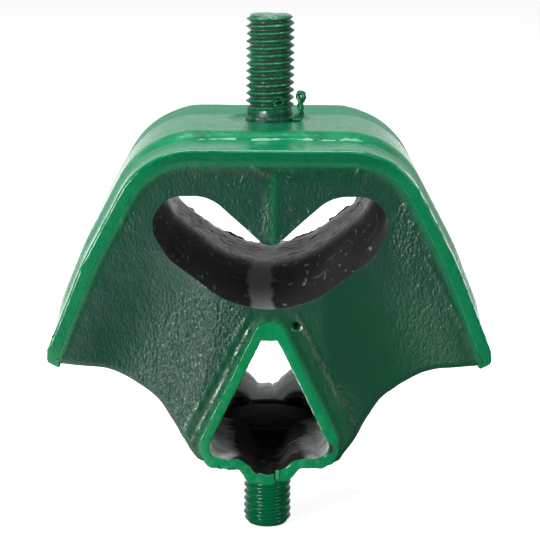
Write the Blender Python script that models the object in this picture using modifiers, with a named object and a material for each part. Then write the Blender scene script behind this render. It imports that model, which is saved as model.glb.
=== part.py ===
"""Bonded rubber engine mount.

A pressed steel saddle and a steel strip folded into a three-cornered tube hold a
block of rubber between them. One threaded stud stands up from the saddle, another
hangs down from the tube.

Run with: blender --background --python part.py
Metres, Z up, front towards -Y. The lower stud's end face is at z = 0 and both studs
lie on the Z axis.
"""

import math

import bmesh
import bpy
from mathutils import Matrix, Vector

MM = 0.001

# Shared sizes
DEPTH = 70.0 * MM                # both brackets, front edge to rear edge
BOND_GAP = 0.3 * MM              # left between pieces that are bonded or seated
EDGE_BREAK = 0.4 * MM            # rounding on the sheared edges of the steel

# Outer bracket: one pressed sheet, followed from its middle down to a foot
SADDLE_SHEET = 3.0 * MM
SADDLE_FLAT = 14.5 * MM          # half of the level top
SADDLE_CORNER_RADIUS = 16.0 * MM
UPPER_LEG_LENGTH = 12.6 * MM
UPPER_LEG_ANGLE = math.radians(28)   # from the vertical
LEG_BEND_RADIUS = 40.0 * MM
LOWER_LEG_LENGTH = 18.0 * MM
LOWER_LEG_ANGLE = math.radians(22)   # from the vertical

# The broad raised band pressed into the saddle, which leaves a flat rim front and rear
BAND_HEIGHT = 1.5 * MM
BAND_LEG_HEIGHT = 1.1 * MM
BAND_HALF_DEPTH = 19.0 * MM
BAND_SLOPE = 5.0 * MM
BAND_FADE = 9.0 * MM             # the band dies out over this length above each foot

# Inner bracket: one strip folded into a tube, open at a seam in its channel
TUBE_SHEET = 2.4 * MM
TUBE_HEIGHT = 29.5 * MM          # apex to underside, without the channel
TUBE_HALF_ANGLE = math.radians(25.8)
TUBE_APEX_RADIUS = 3.4 * MM
TUBE_CORNER_RADIUS = 4.5 * MM
CHANNEL_DEPTH = 3.3 * MM
CHANNEL_MOUTH_HALF = 6.2 * MM
CHANNEL_FLOOR_HALF = 3.1 * MM
CHANNEL_MOUTH_RADIUS = 1.5 * MM
CHANNEL_FLOOR_RADIUS = 3.0 * MM
SEAM_X = 1.2 * MM
SEAM_WIDTH = 0.4 * MM

# Round seat pressed into the tube's floor for the lower stud's head
SEAT_RADIUS = 12.0 * MM
SEAT_FLOOR = 2.4 * MM
SEAT_STEP = 0.6 * MM             # how far the seat stands below the channel

# Studs
STUD_DIAMETER = 10.0 * MM
STUD_CHAMFER = 1.2 * MM
STUD_CLEARANCE = 0.3 * MM        # around each stud in its hole
UPPER_REACH = 21.0 * MM          # above the saddle's raised band
LOWER_REACH = 18.4 * MM          # below the round seat
UPPER_HEAD_RADIUS = 9.0 * MM
UPPER_HEAD_THICKNESS = 3.0 * MM
LOWER_HEAD_RADIUS = 9.3 * MM
LOWER_HEAD_THICKNESS = 2.3 * MM
HEAD_EDGE = 0.6 * MM
COLLAR_RADIUS = 8.0 * MM         # shallow ring coined into the saddle around the stud
COLLAR_DEPTH = 0.4 * MM

# Rubber
RUBBER_RECESS = 0.5 * MM         # its faces lie this far inside the steel edges
APEX_DROP = 32.9 * MM            # saddle rim to tube apex
RUBBER_OVER_APEX = 1.5 * MM
HOLE_HALF_WIDTH = 22.7 * MM
HOLE_TOP_DROP = 8.6 * MM         # saddle rim to the top of the hole
HOLE_FLOOR_ANGLE = math.radians(37)
HOLE_FLOOR_RADIUS = 20.0 * MM
HOLE_LOWER_END_RADIUS = 5.5 * MM
HOLE_UPPER_END_RADIUS = 7.4 * MM
HOLE_LOBE_RADIUS = 8.0 * MM
BUMP_DROP = 17.9 * MM            # saddle rim to the tip of the bump stop
BUMP_ANGLE = math.radians(42)
BUMP_TIP_RADIUS = 2.6 * MM
FREE_EDGE_RADIUS = 12.0 * MM
FOOT_COVER = 0.5 * MM            # rubber below the foot's inner corner
FREE_EDGE_SPAN = 9.5 * MM        # from the foot to the first bend of the lower edge
FREE_EDGE_DROP = 2.0 * MM
TOE_RISE = 11.6 * MM             # from the tube's corner to the second bend
TOE_SPAN = 7.6 * MM
TOE_COVER = 1.1 * MM             # rubber past the tube's rounded corner
VALLEY_DEPTH = 4.0 * MM
VALLEY_WIDTH = 27.0 * MM
VALLEY_REACH = 64.0 * MM         # half length of the ellipsoid that hollows a leg
VALLEY_ANGLE = math.radians(24.5)
VALLEY_SHIFT = 2.0 * MM          # towards the saddle

# Heights that follow
SEAT_Z = LOWER_REACH
CHANNEL_Z = SEAT_Z + SEAT_STEP
TUBE_BASE_Z = CHANNEL_Z + CHANNEL_DEPTH
APEX_Z = TUBE_BASE_Z + TUBE_HEIGHT
RIM_Z = APEX_Z + APEX_DROP
BAND_Z = RIM_Z + BAND_HEIGHT
SEAT_FLOOR_Z = SEAT_Z + SEAT_FLOOR
CUT_MARGIN = 5.0 * MM            # how far every cutter runs past what it cuts
FILLET_SHARE = 0.98              # of an edge that the fillets at its two ends may take

GREEN = (0.0, 0.19, 0.072, 1.0)
THREAD_GREEN = (0.0, 0.12, 0.05, 1.0)
RUBBER_GREEN = (0.006, 0.075, 0.035, 1.0)


def clear_scene():
    """Remove every object of the opening scene."""
    for item in list(bpy.data.objects):
        bpy.data.objects.remove(item, do_unlink=True)


def collection(name):
    """Add a collection to the scene."""
    group = bpy.data.collections.new(name)
    bpy.context.scene.collection.children.link(group)
    return group


def paint(name, colour, roughness):
    """A Principled material."""
    material = bpy.data.materials.new(name)
    material.use_nodes = True
    shader = material.node_tree.nodes["Principled BSDF"]
    shader.inputs["Base Color"].default_value = colour
    shader.inputs["Roughness"].default_value = roughness
    shader.inputs["Metallic"].default_value = 0.0
    return material


def mesh_object(name, bm, group, material=None):
    """Turn a bmesh into a named object in a collection."""
    bmesh.ops.recalc_face_normals(bm, faces=bm.faces)
    mesh = bpy.data.meshes.new(name)
    bm.to_mesh(mesh)
    bm.free()
    item = bpy.data.objects.new(name, mesh)
    group.objects.link(item)
    if material:
        mesh.materials.append(material)
    return item


def hide_cutter(item):
    """A cutter is drawn as wire and left out of renders."""
    item.display_type = "WIRE"
    item.hide_render = True


def combine(target, other, operation="DIFFERENCE"):
    """Add an exact boolean to the target and hide the other object."""
    modifier = target.modifiers.new(operation.lower() + "_" + other.name, "BOOLEAN")
    modifier.operation = operation
    modifier.solver = "EXACT"
    modifier.object = other
    hide_cutter(other)


def solidify(item, inwards, outwards=0.0):
    """Thicken an open skin by two distances from it."""
    modifier = item.modifiers.new("sheet", "SOLIDIFY")
    modifier.thickness = inwards + outwards
    modifier.offset = (outwards - inwards) / (inwards + outwards)
    modifier.use_even_offset = True
    return modifier


def bevel(item, width):
    """Round the sharp edges that the sheet has before anything is cut."""
    modifier = item.modifiers.new("edges", "BEVEL")
    modifier.width = width
    modifier.segments = 2
    modifier.limit_method = "ANGLE"
    modifier.angle_limit = math.radians(50)
    modifier.use_clamp_overlap = True


def fillet(before, corner, after, radius, step=math.radians(9)):
    """The arc that rounds one corner of a flat outline."""
    to_before = (before - corner).normalized()
    to_after = (after - corner).normalized()
    half = to_before.angle(to_after) / 2
    setback = radius / math.tan(half)
    centre = corner + (to_before + to_after).normalized() * (radius / math.sin(half))
    start = corner + to_before * setback - centre
    sweep = (corner + to_after * setback - centre).angle_signed(start)
    count = max(2, math.ceil(abs(sweep) / step))
    return [centre + Matrix.Rotation(sweep * i / count, 2) @ start for i in range(count + 1)]


def rounded(corners, closed=True):
    """Points of an outline from its corners, each one (x, z, radius).

    Two radii that take more than the edge between them are reduced to share it.
    """
    places = [Vector((x, z)) for x, z, _ in corners]
    radii = [radius for _, _, radius in corners]
    if not closed:
        radii[0] = radii[-1] = 0.0
    following = places[1:] + places[:1]
    taken = [
        radius / math.tan((before - corner).angle(after - corner) / 2) if radius else 0.0
        for before, corner, after, radius in zip(places[-1:] + places[:-1], places, following, radii)
    ]
    share = [1.0] * len(corners)
    for i, (corner, after) in enumerate(zip(places, following)):
        j = (i + 1) % len(corners)
        if taken[i] + taken[j] > FILLET_SHARE * (after - corner).length:
            limit = FILLET_SHARE * (after - corner).length / (taken[i] + taken[j])
            share[i] = min(share[i], limit)
            share[j] = min(share[j], limit)
    points = []
    for i, corner in enumerate(places):
        if radii[i] == 0:
            points.append(corner)
        else:
            points += fillet(places[i - 1], corner, following[i], radii[i] * share[i])
    return points


def prism(name, outline, half_depth, group, material=None):
    """A flat outline in X and Z, extruded evenly to both sides along Y."""
    bm = bmesh.new()
    face = bm.faces.new([bm.verts.new((p.x, -half_depth, p.y)) for p in outline])
    swept = bmesh.ops.extrude_face_region(bm, geom=[face])
    moved = [v for v in swept["geom"] if isinstance(v, bmesh.types.BMVert)]
    bmesh.ops.translate(bm, verts=moved, vec=(0, 2 * half_depth, 0))
    return mesh_object(name, bm, group, material)


def cylinder(name, radius, bottom, top, group, segments=64):
    """An upright cylinder on the Z axis."""
    bm = bmesh.new()
    bmesh.ops.create_cone(
        bm, cap_ends=True, segments=segments, radius1=radius, radius2=radius, depth=top - bottom
    )
    bmesh.ops.translate(bm, verts=bm.verts, vec=(0, 0, (top + bottom) / 2))
    return mesh_object(name, bm, group)


def turned(name, profile, group, material, steps=64):
    """A solid of revolution about Z from a profile of (radius, z) points."""
    bm = bmesh.new()
    points = [bm.verts.new((r, 0, z)) for r, z in profile]
    for a, b in zip(points, points[1:]):
        bm.edges.new((a, b))
    mesh = bpy.data.meshes.new(name)
    bm.to_mesh(mesh)
    bm.free()
    mesh.materials.append(material)
    item = bpy.data.objects.new(name, mesh)
    group.objects.link(item)
    screw = item.modifiers.new("turn", "SCREW")
    screw.axis = "Z"
    screw.steps = steps
    screw.render_steps = steps
    screw.use_merge_vertices = True
    screw.merge_threshold = 0.00001
    screw.use_normal_flip = True
    return item


def saddle_path(run_on=0.0):
    """The saddle's rim line from its middle to a foot: (position, outward normal, length)."""
    turns = (
        (SADDLE_FLAT, None, 0.0),
        (None, SADDLE_CORNER_RADIUS, math.pi / 2 - UPPER_LEG_ANGLE),
        (UPPER_LEG_LENGTH, None, 0.0),
        (None, LEG_BEND_RADIUS, UPPER_LEG_ANGLE - LOWER_LEG_ANGLE),
        (LOWER_LEG_LENGTH + run_on, None, 0.0),
    )
    place = Vector((0, RIM_Z))
    heading = 0.0
    length = 0.0
    path = [(place.copy(), Vector((0, 1)), 0.0)]
    for straight, radius, turn in turns:
        reach = straight if radius is None else radius * abs(turn)
        count = math.ceil(reach / (3 * MM))
        if radius is not None:
            count = math.ceil(abs(turn) / math.radians(5.5))
        for _ in range(count):
            heading += turn / count / 2
            chord = reach / count
            if radius is not None:
                chord = 2 * radius * math.sin(abs(turn) / count / 2)
            place = place + Vector((math.cos(heading), -math.sin(heading))) * chord
            heading += turn / count / 2
            length += reach / count
            path.append((place.copy(), Vector((math.sin(heading), math.cos(heading))), length))
    return path


def ease(value):
    """Smooth step from 0 to 1."""
    value = min(max(value, 0.0), 1.0)
    return value * value * (3 - 2 * value)


def band_lift(y, length, foot_length):
    """How far the pressed band raises the sheet at a depth and a length along its path."""
    across = ease((BAND_HALF_DEPTH + BAND_SLOPE - abs(y)) / BAND_SLOPE)
    down = ease((length - SADDLE_FLAT) / (SADDLE_CORNER_RADIUS * (math.pi / 2 - UPPER_LEG_ANGLE)))
    height = BAND_HEIGHT + (BAND_LEG_HEIGHT - BAND_HEIGHT) * down
    return height * across * ease((foot_length - length) / BAND_FADE)


def depth_stations(margin):
    """Depths for the rows of the saddle's skin, close together on the band's slopes."""
    slope = [BAND_HALF_DEPTH + BAND_SLOPE * i / 6 for i in range(7)]
    half = [BAND_HALF_DEPTH / 2] + slope + [DEPTH / 2]
    if margin:
        half.append(DEPTH / 2 + margin)
    return [-y for y in reversed(half)] + [0.0] + half


def saddle_skin(name, group, margin=0.0, material=None):
    """The saddle's outer surface as a grid bent along its path."""
    foot_length = saddle_path()[-1][2]
    path = saddle_path(margin)
    whole = [(Vector((-p.x, p.y)), Vector((-n.x, n.y)), s) for p, n, s in reversed(path[1:])] + path
    rows = depth_stations(margin)
    columns = len(whole) - 1
    bm = bmesh.new()
    bmesh.ops.create_grid(bm, x_segments=columns, y_segments=len(rows) - 1, size=0.5)
    for vert in bm.verts:
        place, normal, length = whole[round((vert.co.x + 0.5) * columns)]
        y = rows[round((vert.co.y + 0.5) * (len(rows) - 1))]
        lifted = place + normal * band_lift(y, length, foot_length)
        vert.co = (lifted.x, y, lifted.y)
    mesh = bpy.data.meshes.new(name)
    bm.to_mesh(mesh)
    bm.free()
    item = bpy.data.objects.new(name, mesh)
    group.objects.link(item)
    if material:
        mesh.materials.append(material)
    return item


def outer_bracket(parts, cutters, material):
    """Pressed saddle with a hole and a coined ring for the upper stud."""
    saddle = saddle_skin("outer_bracket", parts, material=material)
    solidify(saddle, SADDLE_SHEET)
    bevel(saddle, EDGE_BREAK)
    hole_radius = STUD_DIAMETER / 2 + STUD_CLEARANCE
    combine(saddle, cylinder("upper_stud_hole", hole_radius, RIM_Z - SADDLE_SHEET - CUT_MARGIN,
                             BAND_Z + CUT_MARGIN, cutters))
    combine(saddle, cylinder("coined_ring", COLLAR_RADIUS, BAND_Z - COLLAR_DEPTH,
                             BAND_Z + CUT_MARGIN, cutters))
    return saddle


def tube_side_x(z, grow=0.0):
    """Half width of the tube's sloping outer side at a height, before rounding."""
    sharp = APEX_Z + TUBE_APEX_RADIUS * (1 / math.sin(TUBE_HALF_ANGLE) - 1)
    return (sharp - z) * math.tan(TUBE_HALF_ANGLE) + grow / math.cos(TUBE_HALF_ANGLE)


def tube_sharp_apex(grow=0.0):
    """Height at which the tube's two sides would meet without the rounding."""
    rise = (TUBE_APEX_RADIUS + grow) / math.sin(TUBE_HALF_ANGLE)
    return APEX_Z - TUBE_APEX_RADIUS + rise


def tube_outline(grow):
    """The tube's closed outer outline, without its channel, grown by a distance."""
    base = TUBE_BASE_Z - grow
    half = tube_side_x(base, grow)
    corner = TUBE_CORNER_RADIUS + grow
    return rounded((
        (0, tube_sharp_apex(grow), TUBE_APEX_RADIUS + grow),
        (half, base, corner),
        (-half, base, corner),
    ))


def tube_strip_profile():
    """The strip's outer surface from one side of the seam round to the other."""
    half = tube_side_x(TUBE_BASE_Z)
    return rounded((
        (SEAM_X + SEAM_WIDTH / 2, CHANNEL_Z, 0),
        (CHANNEL_FLOOR_HALF, CHANNEL_Z, CHANNEL_FLOOR_RADIUS),
        (CHANNEL_MOUTH_HALF, TUBE_BASE_Z, CHANNEL_MOUTH_RADIUS),
        (half, TUBE_BASE_Z, TUBE_CORNER_RADIUS),
        (0, tube_sharp_apex(), TUBE_APEX_RADIUS),
        (-half, TUBE_BASE_Z, TUBE_CORNER_RADIUS),
        (-CHANNEL_MOUTH_HALF, TUBE_BASE_Z, CHANNEL_MOUTH_RADIUS),
        (-CHANNEL_FLOOR_HALF, CHANNEL_Z, CHANNEL_FLOOR_RADIUS),
        (SEAM_X - SEAM_WIDTH / 2, CHANNEL_Z, 0),
    ), closed=False)


def inner_bracket(parts, cutters, material):
    """Folded strip with a round seat and a hole for the lower stud."""
    profile = tube_strip_profile()
    bm = bmesh.new()
    front = [bm.verts.new((p.x, -DEPTH / 2, p.y)) for p in profile]
    edges = [bm.edges.new(pair) for pair in zip(front, front[1:])]
    swept = bmesh.ops.extrude_edge_only(bm, edges=edges)
    moved = [v for v in swept["geom"] if isinstance(v, bmesh.types.BMVert)]
    bmesh.ops.translate(bm, verts=moved, vec=(0, DEPTH, 0))
    mesh = bpy.data.meshes.new("inner_bracket")
    bm.to_mesh(mesh)
    bm.free()
    mesh.materials.append(material)
    tube = bpy.data.objects.new("inner_bracket", mesh)
    parts.objects.link(tube)
    solidify(tube, TUBE_SHEET)
    bevel(tube, EDGE_BREAK)
    seat_top = TUBE_BASE_Z + TUBE_SHEET / 2
    combine(tube, cylinder("stud_seat", SEAT_RADIUS, SEAT_Z, seat_top, cutters), "UNION")
    pocket_radius = LOWER_HEAD_RADIUS + BOND_GAP
    combine(tube, cylinder("seat_pocket", pocket_radius, SEAT_FLOOR_Z, TUBE_BASE_Z + 2 * TUBE_SHEET,
                           cutters))
    hole_radius = STUD_DIAMETER / 2 + STUD_CLEARANCE
    combine(tube, cylinder("lower_stud_hole", hole_radius, SEAT_Z - CUT_MARGIN,
                           SEAT_FLOOR_Z + CUT_MARGIN / 2, cutters))
    return tube


def upper_stud(parts, material):
    """Stud with a flat head that lies under the saddle."""
    radius = STUD_DIAMETER / 2
    head_top = BAND_Z - SADDLE_SHEET - BOND_GAP
    head_bottom = head_top - UPPER_HEAD_THICKNESS
    end = BAND_Z + UPPER_REACH
    return turned("upper_stud", (
        (0, head_bottom),
        (UPPER_HEAD_RADIUS - HEAD_EDGE, head_bottom),
        (UPPER_HEAD_RADIUS, head_bottom + HEAD_EDGE),
        (UPPER_HEAD_RADIUS, head_top),
        (radius, head_top),
        (radius, end - STUD_CHAMFER),
        (radius - STUD_CHAMFER, end),
        (0, end),
    ), parts, material)


def lower_stud(parts, material):
    """Stud with a flat head that lies in the tube's round seat."""
    radius = STUD_DIAMETER / 2
    head_bottom = SEAT_FLOOR_Z + BOND_GAP
    head_top = head_bottom + LOWER_HEAD_THICKNESS
    end = SEAT_Z - LOWER_REACH
    return turned("lower_stud", (
        (0, end),
        (radius - STUD_CHAMFER, end),
        (radius, end + STUD_CHAMFER),
        (radius, head_bottom),
        (LOWER_HEAD_RADIUS, head_bottom),
        (LOWER_HEAD_RADIUS, head_top - HEAD_EDGE),
        (LOWER_HEAD_RADIUS - HEAD_EDGE, head_top),
        (0, head_top),
    ), parts, material)


def hole_outline():
    """The curved hole through the rubber, with the bump stop pointing down into it."""
    floor = APEX_Z + RUBBER_OVER_APEX
    top = RIM_Z - HOLE_TOP_DROP
    floor_vertex = floor - HOLE_FLOOR_RADIUS * (1 / math.cos(HOLE_FLOOR_ANGLE) - 1)
    floor_end = floor_vertex + HOLE_HALF_WIDTH * math.tan(HOLE_FLOOR_ANGLE)
    bump_vertex = RIM_Z - BUMP_DROP - BUMP_TIP_RADIUS * (1 / math.cos(BUMP_ANGLE) - 1)
    lobe_x = (top - bump_vertex) / math.tan(BUMP_ANGLE)
    return rounded((
        (0, floor_vertex, HOLE_FLOOR_RADIUS),
        (HOLE_HALF_WIDTH, floor_end, HOLE_LOWER_END_RADIUS),
        (HOLE_HALF_WIDTH, top, HOLE_UPPER_END_RADIUS),
        (lobe_x, top, HOLE_LOBE_RADIUS),
        (0, bump_vertex, BUMP_TIP_RADIUS),
        (-lobe_x, top, HOLE_LOBE_RADIUS),
        (-HOLE_HALF_WIDTH, top, HOLE_UPPER_END_RADIUS),
        (-HOLE_HALF_WIDTH, floor_end, HOLE_LOWER_END_RADIUS),
    ))


def foot_corner():
    """Inner corner of the saddle's foot."""
    place, normal, _ = saddle_path()[-1]
    return place - normal * SADDLE_SHEET


def tube_toe():
    """Where the rubber's lower edge ends, past the middle of the tube's rounded corner."""
    half = tube_side_x(TUBE_BASE_Z)
    to_middle = Vector((-math.cos(math.pi / 4 - TUBE_HALF_ANGLE / 2),
                        math.sin(math.pi / 4 - TUBE_HALF_ANGLE / 2)))
    spread = TUBE_CORNER_RADIUS / math.sin(math.pi / 4 - TUBE_HALF_ANGLE / 2)
    centre = Vector((half, TUBE_BASE_Z)) + to_middle * spread
    return centre - to_middle * (TUBE_CORNER_RADIUS + TOE_COVER), centre


def rubber_outline():
    """The block's outline before the two steel pieces are cut out of it."""
    toe, tube_corner = tube_toe()
    foot = foot_corner()
    shoulder = [(p - n * (SADDLE_SHEET / 3)) for p, n, _ in saddle_path(CUT_MARGIN / 2)]
    lower = rounded((
        (shoulder[-1].x, foot.y - FOOT_COVER, 0),
        (foot.x - FREE_EDGE_SPAN, foot.y - FREE_EDGE_DROP, FREE_EDGE_RADIUS),
        (toe.x + TOE_SPAN, toe.y + TOE_RISE, FREE_EDGE_RADIUS),
        (toe.x, toe.y, 0),
        (tube_corner.x, tube_corner.y, 0),
    ), closed=False)
    half = [p for p in shoulder[1:] if p.y > foot.y - FOOT_COVER] + lower
    return half + [Vector((-p.x, p.y)) for p in reversed(half)]


def valley(side, face, cutters):
    """Long ellipsoid that hollows one face of one rubber leg."""
    toe, _ = tube_toe()
    middle = (foot_corner() + toe) / 2
    radius = (VALLEY_WIDTH ** 2 / 4 + VALLEY_DEPTH ** 2) / (2 * VALLEY_DEPTH)
    face_y = DEPTH / 2 - RUBBER_RECESS
    bm = bmesh.new()
    bmesh.ops.create_uvsphere(bm, u_segments=72, v_segments=24, radius=1.0)
    size = Matrix.Diagonal((radius, radius, VALLEY_REACH, 1.0))
    lean = Matrix.Rotation(-side * VALLEY_ANGLE, 4, "Y")
    place = Matrix.Translation((side * (middle.x + VALLEY_SHIFT), face * (face_y + radius - VALLEY_DEPTH),
                                middle.y))
    bmesh.ops.transform(bm, verts=bm.verts, matrix=place @ lean @ size)
    sides = {-1: "left", 1: "right"}
    faces = {-1: "front", 1: "rear"}
    return mesh_object("valley_" + sides[side] + "_" + faces[face], bm, cutters)


def rubber_body(parts, cutters, material):
    """Rubber moulded between the saddle and the tube."""
    rubber = prism("rubber_body", rubber_outline(), DEPTH / 2 - RUBBER_RECESS, parts, material)
    saddle_room = saddle_skin("saddle_room", cutters, CUT_MARGIN)
    solidify(saddle_room, SADDLE_SHEET + BOND_GAP, SADDLE_SHEET)
    combine(rubber, saddle_room)
    combine(rubber, prism("tube_room", tube_outline(BOND_GAP), DEPTH / 2 + CUT_MARGIN, cutters))
    combine(rubber, prism("curved_hole", hole_outline(), DEPTH / 2 + CUT_MARGIN, cutters))
    head_bottom = BAND_Z - SADDLE_SHEET - 2 * BOND_GAP - UPPER_HEAD_THICKNESS
    combine(rubber, cylinder("head_pocket", UPPER_HEAD_RADIUS + BOND_GAP, head_bottom,
                             BAND_Z + CUT_MARGIN, cutters))
    for side in (-1, 1):
        for face in (-1, 1):
            combine(rubber, valley(side, face, cutters))
    return rubber


def main():
    clear_scene()
    parts = collection("engine_mount")
    cutters = collection("cutters")
    steel_paint = paint("green_painted_steel", GREEN, 0.3)
    thread_paint = paint("green_painted_thread", THREAD_GREEN, 0.4)
    rubber_paint = paint("green_coated_rubber", RUBBER_GREEN, 0.45)
    outer_bracket(parts, cutters, steel_paint)
    inner_bracket(parts, cutters, steel_paint.copy())
    rubber_body(parts, cutters, rubber_paint)
    upper_stud(parts, thread_paint)
    lower_stud(parts, thread_paint.copy())


main()
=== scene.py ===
# %% [markdown]
# # A bonded rubber engine mount
#
# An engine mount carries an engine on its chassis and keeps the shaking of the one out
# of the other. This one is a steel saddle and a folded steel tube with a block of
# rubber moulded between them, and a stud at each end. It was dipped or sprayed green
# after it was moulded, so the same paint lies thick and glossy on the steel and thin
# and wrinkled on the rubber. The engineering model gives every size; this lesson
# models the same pieces again with the softness of thick paint, and then finishes them.

# %% Load the engineering model
import math

import bmesh
import bpy
from mathutils import Matrix, Quaternion, Vector, noise


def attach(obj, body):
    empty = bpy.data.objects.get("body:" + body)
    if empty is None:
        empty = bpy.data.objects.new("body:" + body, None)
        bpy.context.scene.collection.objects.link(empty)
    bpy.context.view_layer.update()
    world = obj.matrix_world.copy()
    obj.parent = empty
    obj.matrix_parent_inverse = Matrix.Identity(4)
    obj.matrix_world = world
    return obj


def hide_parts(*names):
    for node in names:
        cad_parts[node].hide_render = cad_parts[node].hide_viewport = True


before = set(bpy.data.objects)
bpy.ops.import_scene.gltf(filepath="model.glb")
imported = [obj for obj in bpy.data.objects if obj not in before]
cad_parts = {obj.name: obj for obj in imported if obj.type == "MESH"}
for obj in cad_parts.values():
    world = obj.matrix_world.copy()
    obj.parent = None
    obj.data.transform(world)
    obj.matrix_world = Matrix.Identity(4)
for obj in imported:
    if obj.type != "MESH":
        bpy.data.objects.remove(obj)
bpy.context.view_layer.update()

MM = 0.001

# %% [markdown]
# ## Camera
#
# The photograph was taken from the front with a long lens, about 12 degrees above the
# part. Its camera was worked out from edges whose real sizes are known, front and
# rear. It leans by 0.4 of a degree, so the camera is turned about its own axis.

# %% Camera
PHOTO_SIDE = 540
FOCAL_LENGTH_PIXELS = 1986

lens = bpy.data.cameras.new("photo_view")
lens.sensor_width = 36
lens.lens = FOCAL_LENGTH_PIXELS / PHOTO_SIDE * lens.sensor_width
camera = bpy.data.objects.new("photo_view", lens)
bpy.context.scene.collection.objects.link(camera)
camera.location = Vector((-2.6, -402.3, 138.5)) * MM
aim = Vector((0.24, 0.0, 54.43)) * MM
camera.rotation_mode = "QUATERNION"
camera.rotation_quaternion = (aim - camera.location).to_track_quat("-Z", "Y") @ Quaternion(
    (0, 0, 1), math.radians(0.4))
bpy.context.scene.camera = camera
print("lens, mm:", round(lens.lens, 1))

# %% [markdown]
# ## Helpers for materials
#
# Colours are written as a designer reads them, in sRGB hex, and turned to the linear
# values that the renderer works with. One function fills the sockets of a node with
# values or with links, and one adds a node, sets its options and fills it.

# %% Material helpers
def colour(code):
    """Linear RGBA of an sRGB hex colour."""
    channels = [int(code[i:i + 2], 16) / 255 for i in (1, 3, 5)]
    return [c / 12.92 if c <= 0.04045 else ((c + 0.055) / 1.055) ** 2.4 for c in channels] + [1.0]


def fill(tree, item, inputs):
    """Fill a node's sockets with values, or link them to sockets or to other nodes."""
    for name, value in inputs.items():
        if isinstance(value, bpy.types.Node):
            value = next(socket for socket in value.outputs if socket.enabled)
        if isinstance(value, bpy.types.NodeSocket):
            tree.links.new(value, item.inputs[name])
        else:
            item.inputs[name].default_value = value


def add(tree, kind, inputs=None, **options):
    """Add a shader node of a kind, set its options and fill its sockets."""
    item = tree.nodes.new("ShaderNode" + kind)
    for name, value in options.items():
        setattr(item, name, value)
    fill(tree, item, inputs or {})
    return item


def blank_material(name):
    """A material with one Principled shader, its node tree and the shader."""
    material = bpy.data.materials.new(name)
    material.use_nodes = True
    return material, material.node_tree, material.node_tree.nodes["Principled BSDF"]

# %% [markdown]
# ## Floor, light and background
#
# A white floor and a white world stand in for the studio. The floor adds a little of
# its own light to what the camera sees, so it is as white as the background and still
# keeps a soft shadow. The world is bright behind the part and dark in front of it, as
# in a studio, and the floor mirrors in the paint in the same way: the top and the
# flanks then take a pale sheen, and the front keeps its full colour. A soft lamp on
# the left makes the sparkle on the wrinkled rubber.

# %% Floor
floor_mesh = bpy.data.meshes.new("floor")
bm = bmesh.new()
bmesh.ops.create_grid(bm, x_segments=1, y_segments=1, size=3.0)
bmesh.ops.translate(bm, verts=bm.verts, vec=(0, 0, -0.05 * MM))
bm.to_mesh(floor_mesh)
bm.free()
floor = bpy.data.objects.new("floor", floor_mesh)
bpy.context.scene.collection.objects.link(floor)

floor_paint, tree, shader = blank_material("white_floor")
rays = add(tree, "LightPath")
place = add(tree, "TexCoord").outputs["Object"]
across, depth, _ = add(tree, "SeparateXYZ", {0: place}).outputs
mirrored = add(tree, "MapRange", {0: depth, 1: -0.05, 2: 0.15, 3: 0.01, 4: 0.85})
left_side = add(tree, "MapRange", {0: across, 1: -0.04, 2: 0.01, 3: 0.8, 4: 0.0},
                interpolation_type="SMOOTHSTEP")
near_side = add(tree, "MapRange", {0: depth, 1: -0.21, 2: -0.15},
                interpolation_type="SMOOTHSTEP")
near_left = add(tree, "Math", {0: near_side, 1: left_side}, operation="MULTIPLY")
mirrored = add(tree, "Math", {0: mirrored, 1: near_left}, operation="MAXIMUM")
seen = add(tree, "Mix", {"Factor": rays.outputs["Is Glossy Ray"], 6: colour("#f0f0f0"),
                         7: mirrored}, data_type="RGBA")
fill(tree, shader, {"Base Color": seen, "Roughness": 0.9})
sweep_light = add(tree, "MapRange", {0: depth, 1: 0.05, 2: 0.40, 3: 0.0, 4: 1.5})
sweep_light = add(tree, "Math", {0: sweep_light, 1: rays.outputs["Is Glossy Ray"]},
                  operation="MULTIPLY")
strength = add(tree, "Math", {0: rays.outputs["Is Camera Ray"], 1: 0.8, 2: sweep_light},
               operation="MULTIPLY_ADD")
glow = add(tree, "Emission", {"Strength": strength})
both = add(tree, "AddShader", {0: shader, 1: glow})
fill(tree, tree.nodes["Material Output"], {"Surface": both})
floor_mesh.materials.append(floor_paint)
print("floor nodes:", len(tree.nodes))

# %% World
world = bpy.data.worlds.new("studio")
bpy.context.scene.world = world
world.use_nodes = True
tree = world.node_tree
rays = add(tree, "LightPath")
direction = add(tree, "TexCoord").outputs["Generated"]
_, back, up = add(tree, "SeparateXYZ", {0: direction}).outputs
wall = add(tree, "MapRange", {0: back, 1: 0.05, 2: 0.75, 3: 0.03, 4: 0.64},
           interpolation_type="SMOOTHSTEP")
top_edge = add(tree, "MapRange", {0: up, 1: 0.32, 2: 0.62, 3: 1.0, 4: 0.3},
               interpolation_type="SMOOTHSTEP")
studio = add(tree, "Math", {0: wall, 1: top_edge}, operation="MULTIPLY")
level = add(tree, "Mix", {"Factor": rays.outputs["Is Camera Ray"], 2: studio, 3: 1.0},
            data_type="FLOAT")
fill(tree, tree.nodes["Background"], {"Color": (1, 1, 1, 1), "Strength": level})
bpy.context.scene.view_settings.view_transform = "Standard"
print("world nodes:", len(tree.nodes))

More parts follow.
